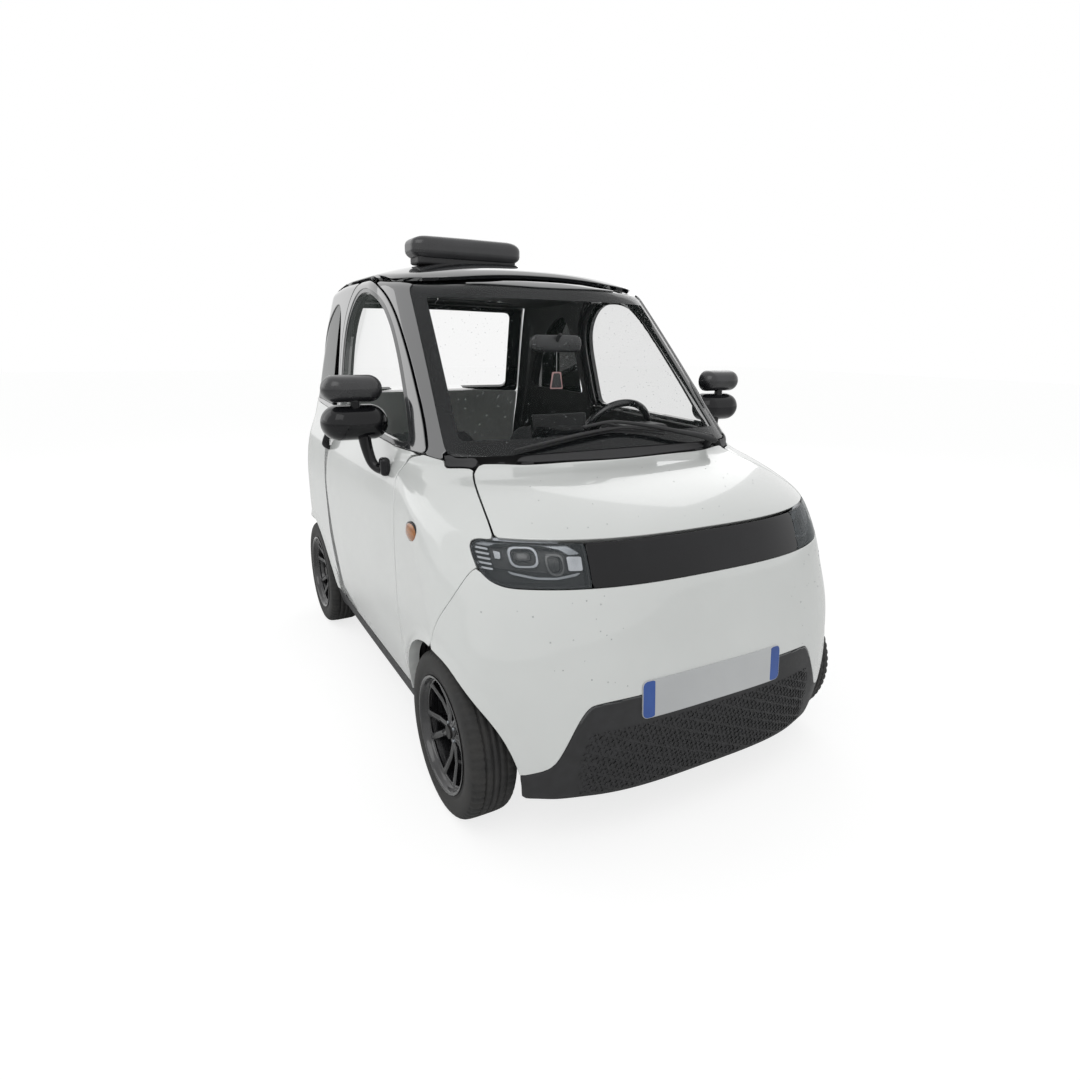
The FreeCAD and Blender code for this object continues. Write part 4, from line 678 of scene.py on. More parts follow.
skin("bonnet_skin", (-0.45, 0.45, 0.86, 1.06, 0.0125), [grown(bonnet_room, -GAP), off(band_room, 0.0015)], PAINT,
     "bonnet_body", ["bonnet"], "white_paint", top=0, depth=0.022, closed=True)
skin("cowl_skin", (-0.42, 0.42, 0.98, 1.06, 0.0125), [cowl_room, off(screen_room, 0.0005)], MATT, CHASSIS,
     ["cowl_panel"], "gloss_black", gap=[bonnet_room], top=0, depth=0.02)
skin("front_bumper_skin", (-0.42, 0.42, 0.15, 0.84, 0.0125), [bumper_room, arch_free, low_room, ahead_of(NOSE_END)],
     PAINT, CHASSIS, ["front_bumper"], "white_paint", gap=[bonnet_room], seam=[band_room, grille_room], depth=0.014)
for sign, word in SIDES:
    door = "door_%s_body" % word
    skin("fender_skin_" + word, (0.12 * sign, 0.56 * sign, 0.24, 1.1, 0.0125),
         [arch_free, ahead_of(FENDER_END), half(sign), below(FENDER_TOP)], PAINT, CHASSIS, ["front_fender_" + word],
         "white_paint", gap=[bonnet_room, door_room], seam=[bumper_room, band_room, belt_room, cowl_room, sill_room],
         **SKIN)
    skin("door_skin_" + word, (0.12 * sign, 0.8 * sign, 0.25, 1.12, 0.0125), [grown(door_room, -GAP)], PAINT, door,
         ["door_" + word], "white_paint", seam=[belt_room], **SHUT_SKIN)
    frame_area = (0.08 * sign, 0.86 * sign, 0.99, 1.62)
    skin("door_frame_" + word, (*frame_area, 0.0102),
         [grown(door_room, -GAP), grown(belt_room, -0.0002), off(door_window_room, 0.016)], PILLAR, door,
         ["door_" + word], "gloss_black", top=0, **SHUT_SKIN)
    skin("door_window_trim_" + word, (*frame_area, 0.0102),
         [grown(door_window_room, 0.017), off(door_window_room, 0.0006)], TRIM, door, inset=0.003, depth=0.018)
    skin("door_pane_" + word, (*frame_area, 0.014), [grown(door_window_room, 0.004)], DOOR_GLASS, door,
         ["door_glass_" + word], "glass", inset=0.006, depth=0.0)
    skin("quarter_skin_" + word, (0.62 * sign, 1.0 * sign, 0.16, 1.16, 0.0125),
         [arch_free, low_room, behind(QUARTER_START), half(sign)], PAINT, CHASSIS, ["quarter_panel_" + word],
         "white_paint", gap=[door_room, tailgate_room], seam=[belt_room, sill_room, rear_bumper_room, lamp_room],
         **SKIN)
    skin("quarter_pane_" + word, (0.62 * sign, 0.995 * sign, 1.05, 1.56, 0.014), [grown(quarter_glass_room, 0.004)],
         DARK_GLASS, CHASSIS, ["quarter_glasses"], "glass", gap=[door_room], **PANE)
    skin("pillar_skin_" + word, (0.1 * sign, 0.999 * sign, 1.0, 1.66, 0.0125),
         [belt_room, off(quarter_glass_room, 0.0012), off(screen_room, 0.0012), half(sign)], PILLAR, CHASSIS,
         ["pillar_frame"], "gloss_black", gap=[door_room, tailgate_room, bonnet_room], seam=[roof_room, cowl_room],
         top=0, depth=0.02)
    skin("sill_skin_" + word, (0.3 * sign, 0.85 * sign, 0.15, 0.27, 0.0125),
         [sill_room, arch_free, low_room, within(0, SILL_END)], MATT, CHASSIS, ["sills"], "black_plastic",
         gap=[door_room], depth=0.03)
    skin("tail_lamp_lens_" + word, (0.74 * sign, 1.0 * sign, 0.66, 1.02, 0.0102), [lamp_room, half(sign)], RED,
         CHASSIS, ["tail_lamps"], "lamp_red", gap=[tailgate_room], seam=[belt_room], depth=0.02)
screen_area = (-0.36, 0.36, 1.02, 1.6, 0.014)
skin("windscreen_pane", screen_area, [grown(screen_room, 0.003)], SCREEN, CHASSIS, ["windscreen"], "glass", **PANE)
skin("windscreen_border", screen_area, [grown(screen_room, 0.003), off(screen_room, -0.045)], GLOSS, inset=0.006,
     depth=0.0)
skin("light_band_skin", (-0.45, 0.45, 0.74, 0.89, 0.0102), [band_room, within(1, LAMP_EDGE), off(bonnet_room, 0.003)],
     GLOSS, CHASSIS, ["light_band"], "gloss_black", depth=0.02)
skin("grille_skin", (-0.4, 0.4, 0.15, 0.48, 0.0102), [grille_room, arch_free, low_room], MATT, CHASSIS,
     ["lower_grille"], "black_plastic", depth=0.012)
for c0, c1, word in ((0.7, 1.0, "left"), (-1.0, -0.7, "right")):
    skin("rear_bumper_skin_" + word, (c0, c1, 0.15, 0.64, 0.0125),
         [rear_bumper_room, arch_free, low_room, lambda p: -np.abs(p[..., 1])], PAINT, CHASSIS, ["rear_bumper"],
         "white_paint", gap=[tailgate_room], **SKIN)
    tailgate = dict(body="tailgate_body", nodes=["tailgate"], **SHUT_SKIN)
    skin("tailgate_skin_" + word, (c0, c1, 0.62, 1.62, 0.0125), [grown(tailgate_room, -GAP), under_split], PAINT,
         slot="white_paint", **tailgate)
    skin("tailgate_frame_" + word, (c0, c1, 0.62, 1.62, 0.0125),
         [grown(tailgate_room, -GAP), off(under_split, 0.0008), off(tail_glass_room, 0.002)], GLOSS,
         slot="gloss_black", top=0, **tailgate)
    skin("tail_pane_" + word, (c0, c1, 1.08, 1.6, 0.014), [grown(tail_glass_room, 0.003)], TAIL_GLASS,
         "tailgate_body", ["tailgate_glass"], "glass", **PANE)
on_roof = dict(limits=[roof_room], gap=[door_room, tailgate_room], seam=[screen_room], top=0)
roof = roof_grid(-1.06, 0.3, -0.62, 0.62)
panel("roof_skin", roof, bounded(roof, **on_roof), PILLAR, CHASSIS, ["roof_panel"], "gloss_black", depth=0.012)
panel("pillar_top", roof, bounded(roof, [], [door_room, tailgate_room], [roof_room, screen_room], 0), PILLAR, CHASSIS,
      ["pillar_frame"], "gloss_black", depth=0.012)
skin("roof_edge", (-0.9, 0.9, 1.35, 1.66, 0.0125), material=PILLAR, nodes=["roof_panel"], slot="gloss_black",
     depth=0.012, **on_roof)


# Small forms

def front_spot(y, z):
    """How far ahead the walls are at this place across and height."""
    reach = depth_of(z)
    away = np.minimum(np.abs(y) / side(z), 0.9995)
    return nose(z) - reach + reach * np.sqrt(1 - away ** power_of(z))


def nose_grid(y0, y1, z0, z1, step=0.003, inset=0.0):
    """A fine grid on the nose. Returns points, normals and tangents."""
    y, z = np.meshgrid(np.linspace(y0, y1, max(6, int(abs(y1 - y0) / step))),
                       np.linspace(z0, z1, max(6, int(abs(z1 - z0) / step))))
    p = np.stack([front_spot(y, z), y, z], -1)
    n = surface_frame(p)[0]
    n *= np.sign(np.median(n[..., 0]))
    p = p - n * inset
    n, tu, tv = surface_frame(p)
    return p, n * np.sign(np.median(n[..., 0])), tu, tv


def shape_on_nose(name, corners, sign, inset, material, radius=0.006, depth=0.008, step=0.0025, hole=None,
                  edge=0.0012):
    """A small moulded shape on the nose; its corners are given across (from the middle outward) and up."""
    flat = softened(corners, radius)
    low, high = flat.min(0) - 0.006, flat.max(0) + 0.006
    grid = nose_grid(sign * low[0], sign * high[0], low[1], high[1], step, inset)
    q = np.stack([grid[0][..., 1] * sign, grid[0][..., 2]], -1)
    field = distance(q, flat)
    if hole is not None:
        field = np.maximum(field, -distance(q, hole))
    return panel(name, grid, field, material, depth=depth, round_edge=edge)


def soft_box(name, centre, half, radii, material, steps=10, bulge=0.0, turn=None, **on):
    """A rounded block. Its radii may differ by direction, and its faces may bulge."""
    half, radii = np.array(half, float), np.minimum(np.array(radii, float) * np.ones(3), half)
    verts, faces, known, marks = [], [], {}, []
    for k in range(3):
        t = np.linspace(0, math.pi / 2, 6)
        core = half[k] - radii[k]
        edge = core + radii[k] * np.sin(t)
        flat = np.linspace(-core, core, steps)[1:-1] if half[k] > radii[k] else []
        marks.append(np.unique(np.round(np.concatenate([-edge, flat, edge, [0]]), 7)))
    for axis in range(3):
        a, b = (axis + 1) % 3, (axis + 2) % 3
        for sign in (-1, 1):
            rows = []
            for u in marks[a]:
                row = []
                for v in marks[b]:
                    p = np.zeros(3)
                    p[axis], p[a], p[b] = sign * half[axis], u, v
                    core = np.clip(p, -(half - radii), half - radii)
                    away = (p - core) / np.maximum(radii, 1e-9)
                    size = np.linalg.norm(away)
                    q = core + away / max(size, 1e-9) * radii
                    if bulge:
                        rest = [1 - min(1, abs(q[m] / half[m])) ** 2.5 for m in range(3)]
                        for m in range(3):
                            others = [rest[j] for j in range(3) if j != m]
                            q[m] += bulge * np.sign(q[m]) * others[0] * others[1] * (abs(q[m]) > half[m] * 0.6)
                    key = tuple(np.round(q, 6))
                    if key not in known:
                        known[key] = len(verts)
                        verts.append(q)
                    row.append(known[key])
                rows.append(row)
            for r0, r1 in zip(rows, rows[1:]):
                for i in range(len(r0) - 1):
                    face = [r0[i], r0[i + 1], r1[i + 1], r1[i]]
                    face = [f for k, f in enumerate(face) if f != face[k - 1]]
                    if len(face) > 2:
                        faces.append(face if sign < 0 else face[::-1])
    verts = np.array(verts)
    if turn is not None:
        verts = verts @ np.array(turn).T
    return new_object(name, verts + np.array(centre), faces, None, material, **on)


def smooth_line(points, count=40):
    """A rounded line through a few points."""
    points = np.array(points, float)
    padded = np.vstack([2 * points[0] - points[1], points, 2 * points[-1] - points[-2]])
    line = []
    for k in range(1, len(padded) - 2):
        p0, p1, p2, p3 = padded[k - 1:k + 3]
        for t in np.linspace(0, 1, max(3, count // (len(points) - 1)), endpoint=False):
            line.append(0.5 * (2 * p1 + (p2 - p0) * t + (2 * p0 - 5 * p1 + 4 * p2 - p3) * t * t
                               + (3 * p1 - p0 - 3 * p2 + p3) * t ** 3))
    line.append(points[-1])
    return np.array(line)


def tube(name, line, radius, material, sides=14, flat=1.0, **on):
    """A bar along a line, with rounded ends. Its radius may change along it."""
    line = np.array(line, float)
    count = len(line)
    radius = np.atleast_1d(radius)
    radius = np.interp(np.linspace(0, 1, count), np.linspace(0, 1, len(radius)), radius)
    way = np.gradient(line, axis=0)
    way /= np.linalg.norm(way, axis=1, keepdims=True)
    turn = np.linspace(0, 2 * math.pi, sides, endpoint=False)
    cap = [(0, 1.0), (0.38, 0.92), (0.7, 0.72), (0.92, 0.4), (1, 0.02)]
    rings = []
    for k, (p, d, r) in enumerate(zip(line, way, radius)):
        a = np.cross(d, (0, 0, 1))
        if np.linalg.norm(a) < 1e-3:
            a = np.cross(d, (1, 0, 0))
        a /= np.linalg.norm(a)
        b = np.cross(a, d)
        ends = cap[:1]
        if k == 0:
            ends = [(-shift, share) for shift, share in reversed(cap)]
        if k == count - 1:
            ends = cap
        for shift, share in ends:
            rings.append(p + d * shift * r + share * r * (np.cos(turn)[:, None] * a * flat + np.sin(turn)[:, None] * b))
    verts = np.concatenate(rings)
    faces = tube_faces(len(rings), sides)
    faces.append(list(range(sides))[::-1])
    faces.append([len(verts) - sides + i for i in range(sides)])
    return new_object(name, verts, faces, None, material, **on)


def turned(name, profile, centre, material, segments, axis_sign, dents=None, **on):
    """A turned form about a line across the car: the profile gives radius and distance outward."""
    profile = np.array(profile, float)
    turn = np.linspace(0, 2 * math.pi, segments, endpoint=False)
    r = np.repeat(profile[:, :1], segments, axis=1)
    w = np.repeat(profile[:, 1:], segments, axis=1)
    if dents is not None:
        r = r + dents(r, w, turn[None, :])
    verts = np.stack([centre[0] + r * np.cos(turn), centre[1] + axis_sign * w, centre[2] + r * np.sin(turn)], -1)
    faces = tube_faces(len(profile), segments, axis_sign < 0)
    return new_object(name, verts.reshape(-1, 3), faces, None, material, **on)


# Lamps, whose parts are given across and up

LAMP_BEZEL = ((0.628, 0.856), (0.602, 0.8717), (0.578, 0.8755), (0.484, 0.8765), (0.439, 0.8712), (0.417, 0.861),
              (0.391, 0.843), (0.423, 0.8405), (0.44, 0.853), (0.478, 0.8615), (0.533, 0.864), (0.577, 0.862),
              (0.592, 0.8545))
LAMP_FIN = ((0.389, 0.801), (0.413, 0.789), (0.46, 0.7815), (0.508, 0.782), (0.56, 0.7915), (0.576, 0.8035),
            (0.556, 0.7975), (0.506, 0.7885), (0.46, 0.788), (0.416, 0.796))
RING = ((0.4945, 0.862), (0.5605, 0.86), (0.5605, 0.809), (0.4965, 0.811))
RING_HOLE = ((0.501, 0.856), (0.5545, 0.854), (0.5545, 0.815), (0.5025, 0.817))
RING_CORE = ((0.5075, 0.849), (0.548, 0.848), (0.548, 0.822), (0.5085, 0.823))
SECOND = ((0.436, 0.845), (0.48, 0.845), (0.481, 0.806), (0.47, 0.79), (0.447, 0.79), (0.436, 0.806))
SECOND_HOLE = ((0.442, 0.838), (0.474, 0.838), (0.475, 0.808), (0.466, 0.797), (0.45, 0.797), (0.442, 0.808))
SILVER_PLATE = ((0.392, 0.8385), (0.43, 0.8395), (0.431, 0.803), (0.394, 0.8025))
SMALL_LAMP = ((0.5715, 0.843), (0.5885, 0.8452), (0.5896, 0.8258), (0.5735, 0.825))
RING_GLOW = ((0.515, 0.844), (0.541, 0.843), (0.541, 0.829), (0.516, 0.83))
LAMP_WEB = ((0.6, 0.853), (0.396, 0.853), (0.396, 0.79), (0.6, 0.8))
LAMP_BAR_INNER, LAMP_BAR_OUTER, LAMP_BAR_TOP, LAMP_BAR_PITCH = 0.5953, 0.6262, 0.8528, 0.0117
LAMP_PARTS = (
    ("brow", LAMP_BEZEL, 0.012, SILVER, dict(depth=0.02)),
    ("fin", LAMP_FIN, 0.013, SILVER, dict(depth=0.02, radius=0.004)),
    ("plate", SILVER_PLATE, 0.01, CHROME, dict(depth=0.02, radius=0.005)),
    ("small", SMALL_LAMP, 0.016, CHROME, dict(depth=0.018, radius=0.003)),
    ("ring", RING, 0.01, SILVER, dict(depth=0.026, radius=0.02, hole=softened(RING_HOLE, 0.017))),
    ("core", RING_CORE, 0.016, GLOSS, dict(depth=0.02, radius=0.012, edge=0.004)),
    ("core_glow", RING_GLOW, 0.0155, TRIM, dict(depth=0.006, radius=0.007)),
    ("second", SECOND, 0.013, TRIM, dict(depth=0.022, radius=0.014, hole=softened(SECOND_HOLE, 0.012))),
    ("second_core", SECOND_HOLE, 0.02, GLOSS, dict(depth=0.014, radius=0.012, edge=0.004)))
for sign, word in SIDES:
    lamp_area = (sign * 0.375, sign * 0.655, 0.752, 0.885)
    grid = nose_grid(*lamp_area, inset=0.0006)
    panel("lamp_cover_" + word, grid, inside_all(band_room(grid[0]) + SEAM, LAMP_EDGE + SEAM - np.abs(grid[0][..., 1])),
          LENS, CHASSIS, ["headlamp_" + word], "lamp_clear", depth=0.004, round_edge=0.0012)
    for part, inset, low, mat, depth in (("rim", 0.004, -0.0045, GLOSS, 0.04), ("bowl", 0.04, -9, INNER, 0.0)):
        grid = nose_grid(*lamp_area, inset=inset)
        field = inside_all(room(grid[0], HALF_BAND, "front"), LAMP_EDGE - np.abs(grid[0][..., 1])) + 0.0012
        panel("lamp_%s_%s" % (part, word), grid, np.maximum(field, low - field), mat, depth=depth, round_edge=0.0008)
    for part, corners, inset, mat, form in LAMP_PARTS:
        shape_on_nose("lamp_%s_%s" % (part, word), corners, sign, inset, mat, **form)
    for k in range(5):
        outer, inner, top = LAMP_BAR_OUTER - 0.0008 * k, LAMP_BAR_INNER, LAMP_BAR_TOP - LAMP_BAR_PITCH * k
        bar = ((outer, top), (inner, top - 0.002), (inner, top - 0.008), (outer - 0.002, top - 0.0062))
        shape_on_nose("lamp_bar_%d_%s" % (k + 1, word), bar, sign, 0.013, CHROME, depth=0.02, radius=0.002,
                      step=0.0018, edge=0.0008)
    shape_on_nose("lamp_web_" + word, LAMP_WEB, sign, 0.026, MATT, depth=0.01, radius=0.01)

# Plate, blank
PLATE_HALF, PLATE_LOW, PLATE_TOP, BLUE_WIDTH = 0.26, 0.387, 0.497, 0.04
PLATE_RIM = 0.0015
whole = softened(((-PLATE_HALF, PLATE_LOW), (PLATE_HALF, PLATE_LOW), (PLATE_HALF, PLATE_TOP), (-PLATE_HALF, PLATE_TOP)),
                 0.018)
for name, y0, y1, inset, mat, rim, depth in (
        ("plate_back", -PLATE_HALF, PLATE_HALF, -0.004, PLATE, 0, 0.005),
        ("plate_end_left", PLATE_HALF - BLUE_WIDTH, PLATE_HALF - PLATE_RIM, -0.0046, BLUE, PLATE_RIM, 0.0008),
        ("plate_end_right", PLATE_RIM - PLATE_HALF, BLUE_WIDTH - PLATE_HALF, -0.0046, BLUE, PLATE_RIM, 0.0008)):
    grid = nose_grid(-0.27, 0.27, PLATE_LOW - 0.006, PLATE_TOP + 0.006, 0.006, inset)
    p = grid[0]
    panel(name, grid, inside_all(distance(p[..., 1:], whole) + rim, y0 - p[..., 1], p[..., 1] - y1), mat,
          depth=depth, round_edge=0.0006)

# Grille: a stretched honeycomb in relief under the plate, and a lip round it
CELL_WIDE, CELL_TALL, RIB = 0.03, 0.015, 0.0032
grid = nose_grid(-0.5, 0.5, 0.172, 0.372, 0.0031, -0.0026)
p = grid[0]
slant = p[..., 1] + 0.35 * (p[..., 2] - 0.27)
near = []
for shift in (0.0, 0.5):
    a, b = slant / CELL_WIDE - shift, p[..., 2] / CELL_TALL - shift
    near.append(np.hypot((a - np.round(a)) * 0.026, (b - np.round(b)) * 0.02))
ribs = np.abs(near[0] - near[1]) / 2 - RIB / 2
edge = inside_all(grille_room(p) + 0.04 + 0.01 * np.sin(p[..., 1] * 9), 0.178 - p[..., 2], np.abs(p[..., 1]) - 0.47)
panel("grille_mesh", grid, inside_all(ribs, edge), MATT, depth=0.0035, round_edge=0.0008)
grid = nose_grid(-0.545, 0.545, 0.172, 0.47, 0.003, -0.0012)
p = grid[0]
field = grille_room(p)
panel("grille_lip", grid, inside_all(field, -0.006 - field, 0.173 - p[..., 2], np.abs(p[..., 1]) - 0.532), TRIM,
      depth=0.006, round_edge=0.0015)

# Wheels and tyres
SPOKES, HUB, RIM = 5, 0.034, 0.16


def wheel_face(centre, outward, start):
    """Hub, five forked spokes and the outer ring, cut from one dished sheet."""
    r, a = np.meshgrid(np.linspace(0.004, 0.17, 56), np.linspace(0, 2 * math.pi, 221) + start)
    dish = np.interp(r, [0, 0.03, 0.05, 0.1, 0.15, 0.166, 0.17], [0.03, 0.031, 0.026, 0.03, 0.044, 0.05, 0.05])
    crown = np.zeros_like(r)
    x, z = r * np.cos(a), r * np.sin(a)
    flat = np.stack([x, z], -1)
    field = np.minimum(r - HUB, RIM - 0.004 - r)
    reach = np.linspace(0.022, 0.166, 14)
    lean = np.interp(reach, [0.022, 0.05, 0.09, 0.13, 0.166], [0.1, 0.17, 0.215, 0.235, 0.245])
    half_spoke = np.interp(r, [0.03, 0.08, 0.15, 0.17], [0.0125, 0.011, 0.0112, 0.016])
    for k in range(SPOKES):
        for way in (-1, 1):
            bend = start + (k + 0.5) * 2 * math.pi / SPOKES + way * lean
            line = np.stack([reach * np.cos(bend), reach * np.sin(bend)], -1)
            d = np.full(r.shape, 9.0)
            for p0, p1 in zip(line, line[1:]):
                v = p1 - p0
                t = np.clip(((flat - p0) @ v) / (v @ v), 0, 1)
                d = np.minimum(d, np.linalg.norm(flat - p0 - t[..., None] * v, axis=-1))
            field = np.minimum(field, d - half_spoke)
            crown = np.maximum(crown, np.clip(1 - d / 0.01, 0, 1) * 0.003)
    p = np.stack([centre[0] + x, centre[1] + outward * (dish + crown), centre[2] + z], -1)
    n, tu, tv = surface_frame(p)
    n *= np.sign(np.median(n[..., 1])) * outward
    return (p, n, tu, tv), field


def tread(r, w, turn):
    """Grooves across the shoulders and fine cuts in the tread."""
    blocks = 62
    shoulder = np.clip((np.abs(w) - 0.03) / 0.006, 0, 1) * np.clip((r - 0.236) / 0.006, 0, 1)
    cut = (np.cos(turn * blocks + np.sign(w) * 0.5) > 0.72) * shoulder * 0.0045
    middle = np.clip((0.028 - np.abs(w)) / 0.004, 0, 1) * np.clip((r - 0.246) / 0.003, 0, 1)
    fine = (np.cos(turn * blocks + w * 90) > 0.88) * middle * 0.003
    return -(cut + fine)


# Turned profiles: radius, and distance outward from the wheel's middle
TYRE_HALF = [
    (0.17, 0.06), (0.1745, 0.0655), (0.18, 0.0685), (0.1835, 0.069), (0.185, 0.0675), (0.19, 0.0698), (0.2, 0.0722),
    (0.212, 0.0728), (0.222, 0.0722), (0.23, 0.0702), (0.2315, 0.0695), (0.236, 0.068), (0.242, 0.064),
    (0.2465, 0.059), (0.2492, 0.053), (0.2506, 0.046), (0.2512, 0.038), (0.2514, 0.0345), (0.245, 0.0335),
    (0.245, 0.029), (0.2518, 0.028), (0.2519, 0.02), (0.252, 0.013), (0.245, 0.012), (0.245, 0.007), (0.252, 0.006)]
TYRE_PROFILE = TYRE_HALF + [(r, -w) for r, w in reversed(TYRE_HALF)]
BARREL = [(0.177, 0.07), (0.177, 0.0715), (0.1745, 0.0722), (0.1705, 0.0705), (0.168, 0.066), (0.1668, 0.06),
          (0.164, 0.054), (0.161, 0.05), (0.16, 0.044), (0.157, 0.03), (0.154, 0.01), (0.154, -0.03),
          (0.16, -0.055), (0.168, -0.064), (0.175, -0.07), (0.177, -0.07), (0.177, -0.06)]
CAP = [(0.0001, 0.0395), (0.012, 0.0392), (0.018, 0.0385), (0.0205, 0.0365), (0.021, 0.0335), (0.025, 0.033),
       (0.0258, 0.032), (0.0258, 0.02)]
DISC = [(0.02, -0.006), (0.105, -0.006), (0.108, -0.008), (0.108, -0.014), (0.03, -0.014)]
NUT = [(0.0001, 0.0375), (0.004, 0.0375), (0.0052, 0.0365), (0.0056, 0.034), (0.0056, 0.024), (0.008, 0.0235)]
NUT_CIRCLE = 0.0285
for axle, x, phase in (("front", FRONT_AXLE, 0.35), ("rear", REAR_AXLE, 0.85)):
    for sign, word in SIDES:
        tag = axle + "_" + word
        centre = (x, sign * WHEEL_Y, AXLE_Z)
        body = "wheel_%s_body" % tag
        turned("tyre_skin_" + tag, TYRE_PROFILE, centre, TYRE, 186, sign, tread, body=body, slot="tyre",
               nodes=["tyre_" + tag])
        turned("wheel_barrel_" + tag, BARREL, centre, ALLOY, 120, sign, body=body, slot="wheel_alloy",
               nodes=["wheel_" + tag])
        panel("wheel_spokes_" + tag, *wheel_face(centre, sign, phase), ALLOY, body, (), "wheel_alloy", depth=0.016,
              round_edge=0.003)
        turned("wheel_cap_" + tag, CAP, centre, ALLOY, 48, sign, body=body)
        turned("brake_disc_" + tag, DISC, centre, BRAKE, 72, sign, body=body)
        for k in range(4):
            a = phase + k * math.pi / 2 + 0.4
            spot = (centre[0] + NUT_CIRCLE * math.cos(a), centre[1], centre[2] + NUT_CIRCLE * math.sin(a))
            turned("wheel_nut_%d_%s" % (k + 1, tag), NUT, spot, SILVER, 6, sign, body=body)
        valve = [(centre[0] + r * math.cos(phase), centre[1] + sign * out, centre[2] + r * math.sin(phase))
                 for r, out in ((0.15, 0.04), (0.142, 0.056))]
        tube("tyre_valve_" + tag, valve, 0.0035, MATT, body=body)


# Mirrors: a gloss pill, and a satin one above it
def pill(name, centre, wide, tall, deep, material, **on):
    """A mirror's shell, round at its ends, with the glass in its open side."""
    count = 72
    turn = np.linspace(0, 2 * math.pi, count, endpoint=False)
    rows = []
    for t in np.concatenate([[-0.1, -0.02], np.linspace(0, 1, 15)]):
        share = 0.9 if t == -0.1 else (1 - max(t, 0) ** 2.7) ** (1 / 2.1) if t < 1 else 0.02
        core = (wide / 2 - tall / 2) * (0.3 * share + 0.7)
        r = tall / 2 * share
        x = centre[0] - deep / 2 + deep * max(t, 0.0) + (0.004 if t == -0.1 else 0)
        y = centre[1] + np.cos(turn) * r + np.where(np.cos(turn) > 0, core, -core)
        rows.append(np.stack([np.full(count, x), y, centre[2] + np.sin(turn) * r], -1))
    verts = np.concatenate(rows)
    faces = [face[1:] + face[:1] for face in tube_faces(len(rows), count)]
    faces.append([len(verts) - count + i for i in range(count)])
    new_object(name, verts, faces, None, material, **on)
    new_object(name + "_face", rows[0] + np.array([0.0015, 0, 0]), [list(range(count))[::-1]], None, MIRROR,
               body=on["body"])


for sign, word in SIDES:
    on = dict(body="door_%s_body" % word)
    pill("mirror_shell_" + word, (0.325, sign * 0.763, 1.118), 0.212, 0.112, 0.084, GLOSS, slot="gloss_black",
         nodes=["mirror_" + word], **on)
    pill("mirror_extra_" + word, (0.325, sign * 0.768, 1.225), 0.192, 0.084, 0.062, SATIN, **on)
    tube("mirror_link_" + word, smooth_line([(0.318, sign * 0.763, 1.165), (0.318, sign * 0.765, 1.188)], 6), 0.016,
         GLOSS, **on)
    stalk = smooth_line([(0.325, sign * 0.745, 1.09), (0.33, sign * 0.738, 1.04), (0.338, sign * 0.728, 0.998),
                         (0.352, sign * 0.716, 0.978), (0.372, sign * 0.704, 0.972)], 24)
    tube("mirror_stalk_" + word, stalk, [0.021, 0.019, 0.017, 0.016, 0.016], GLOSS, 20, **on)
    soft_box("mirror_foot_" + word, (0.385, sign * 0.699, 0.984), (0.02, 0.016, 0.03), 0.013, GLOSS, **on)


# Wiper
def over_nose(places, lift, count=44):
    """A rounded line that hovers over places on the nose, given across and up."""
    out = []
    for y, z in places:
        p, n = nose_grid(y - 0.004, y + 0.004, z - 0.004, z + 0.004, 0.002)[:2]
        mid = (p.shape[0] // 2, p.shape[1] // 2)
        out.append(p[mid] + n[mid] * lift)
    return smooth_line(out, count) if len(out) > 1 else out[0]


BLADE = ((-0.375, 1.046), (-0.265, 1.062), (-0.13, 1.079), (0.015, 1.091), (0.1, 1.086), (0.2, 1.072))
ARM = ((0.404, 1.03), (0.35, 1.044), (0.25, 1.064), (0.13, 1.088), (0.0, 1.104), (-0.12, 1.094))
blade, arm, hub = over_nose(BLADE, 0.016), over_nose(ARM, 0.026), over_nose(ARM[:1], -0.012)
tube("wiper_blade", blade, [0.0035, 0.005, 0.0058, 0.0058, 0.005, 0.0035], MATT, 12, 1.5, slot="black_plastic",
     nodes=["wiper"])
tube("wiper_rubber", over_nose([(y, z - 0.004) for y, z in BLADE], 0.0065), 0.003, INNER, 8)
tube("wiper_arm", arm, [0.0115, 0.01, 0.008, 0.0064, 0.0056, 0.005], MATT, 14)
tube("wiper_pivot", [hub, hub + np.array([0.022, 0, 0.03])], 0.0135, MATT, 20)
tube("wiper_bridge", [blade[26] + np.array([0, 0, 0.001]), arm[34]], 0.0055, MATT, 12)

# Cowl slots: flat darker pads on the cowl, painted shade where the openings are
for k, (a, b, z) in enumerate(((0.199, 0.226, 1.0113), (0.322, 0.362, 1.0178), (0.411, 0.431, 1.0204))):
    for sign, word in SIDES:
        slot = ((a, z - 0.0028), (b, z - 0.0022), (b, z + 0.0026), (a, z + 0.0022))
        # each slot is a flat dark pad, its darkness painted shade of the opening
        shape_on_nose("cowl_slot_%d_%s" % (k + 1, word), slot, sign, -0.0004, INNER, radius=0.0022, depth=0.002,
                      step=0.0012, edge=0.0006)

# Roof sign, blank: a rounded box on a base with two feet
SIGN_X, SIGN_Y = -0.175, -0.175
soft_box("sign_shell", (SIGN_X, SIGN_Y, 1.712), (0.065, 0.228, 0.041), (0.03, 0.058, 0.03), SATIN, 14, 0.002,
         slot="black_plastic", nodes=["roof_sign"])
for k, y in enumerate((-0.33, -0.02)):
    soft_box("sign_foot_%d" % (k + 1), (SIGN_X, y, 1.666), (0.045, 0.022, 0.016), 0.008, MATT)
soft_box("sign_base", (SIGN_X, SIGN_Y, 1.668), (0.052, 0.206, 0.016), (0.01, 0.02, 0.008), MATT)


# Door handles and amber side markers
def on_side(x, z, sign, lift=0.0):
    """A place on the side of the body, lifted off it."""
    reach = depth_of(z)
    ahead = np.maximum(x - (nose(z) - reach), 0) / reach
    y = side(z) * taper(x) * (1 - ahead ** 2) ** (1 / power_of(z))
    return np.array([x, sign * (float(y) + lift), z])


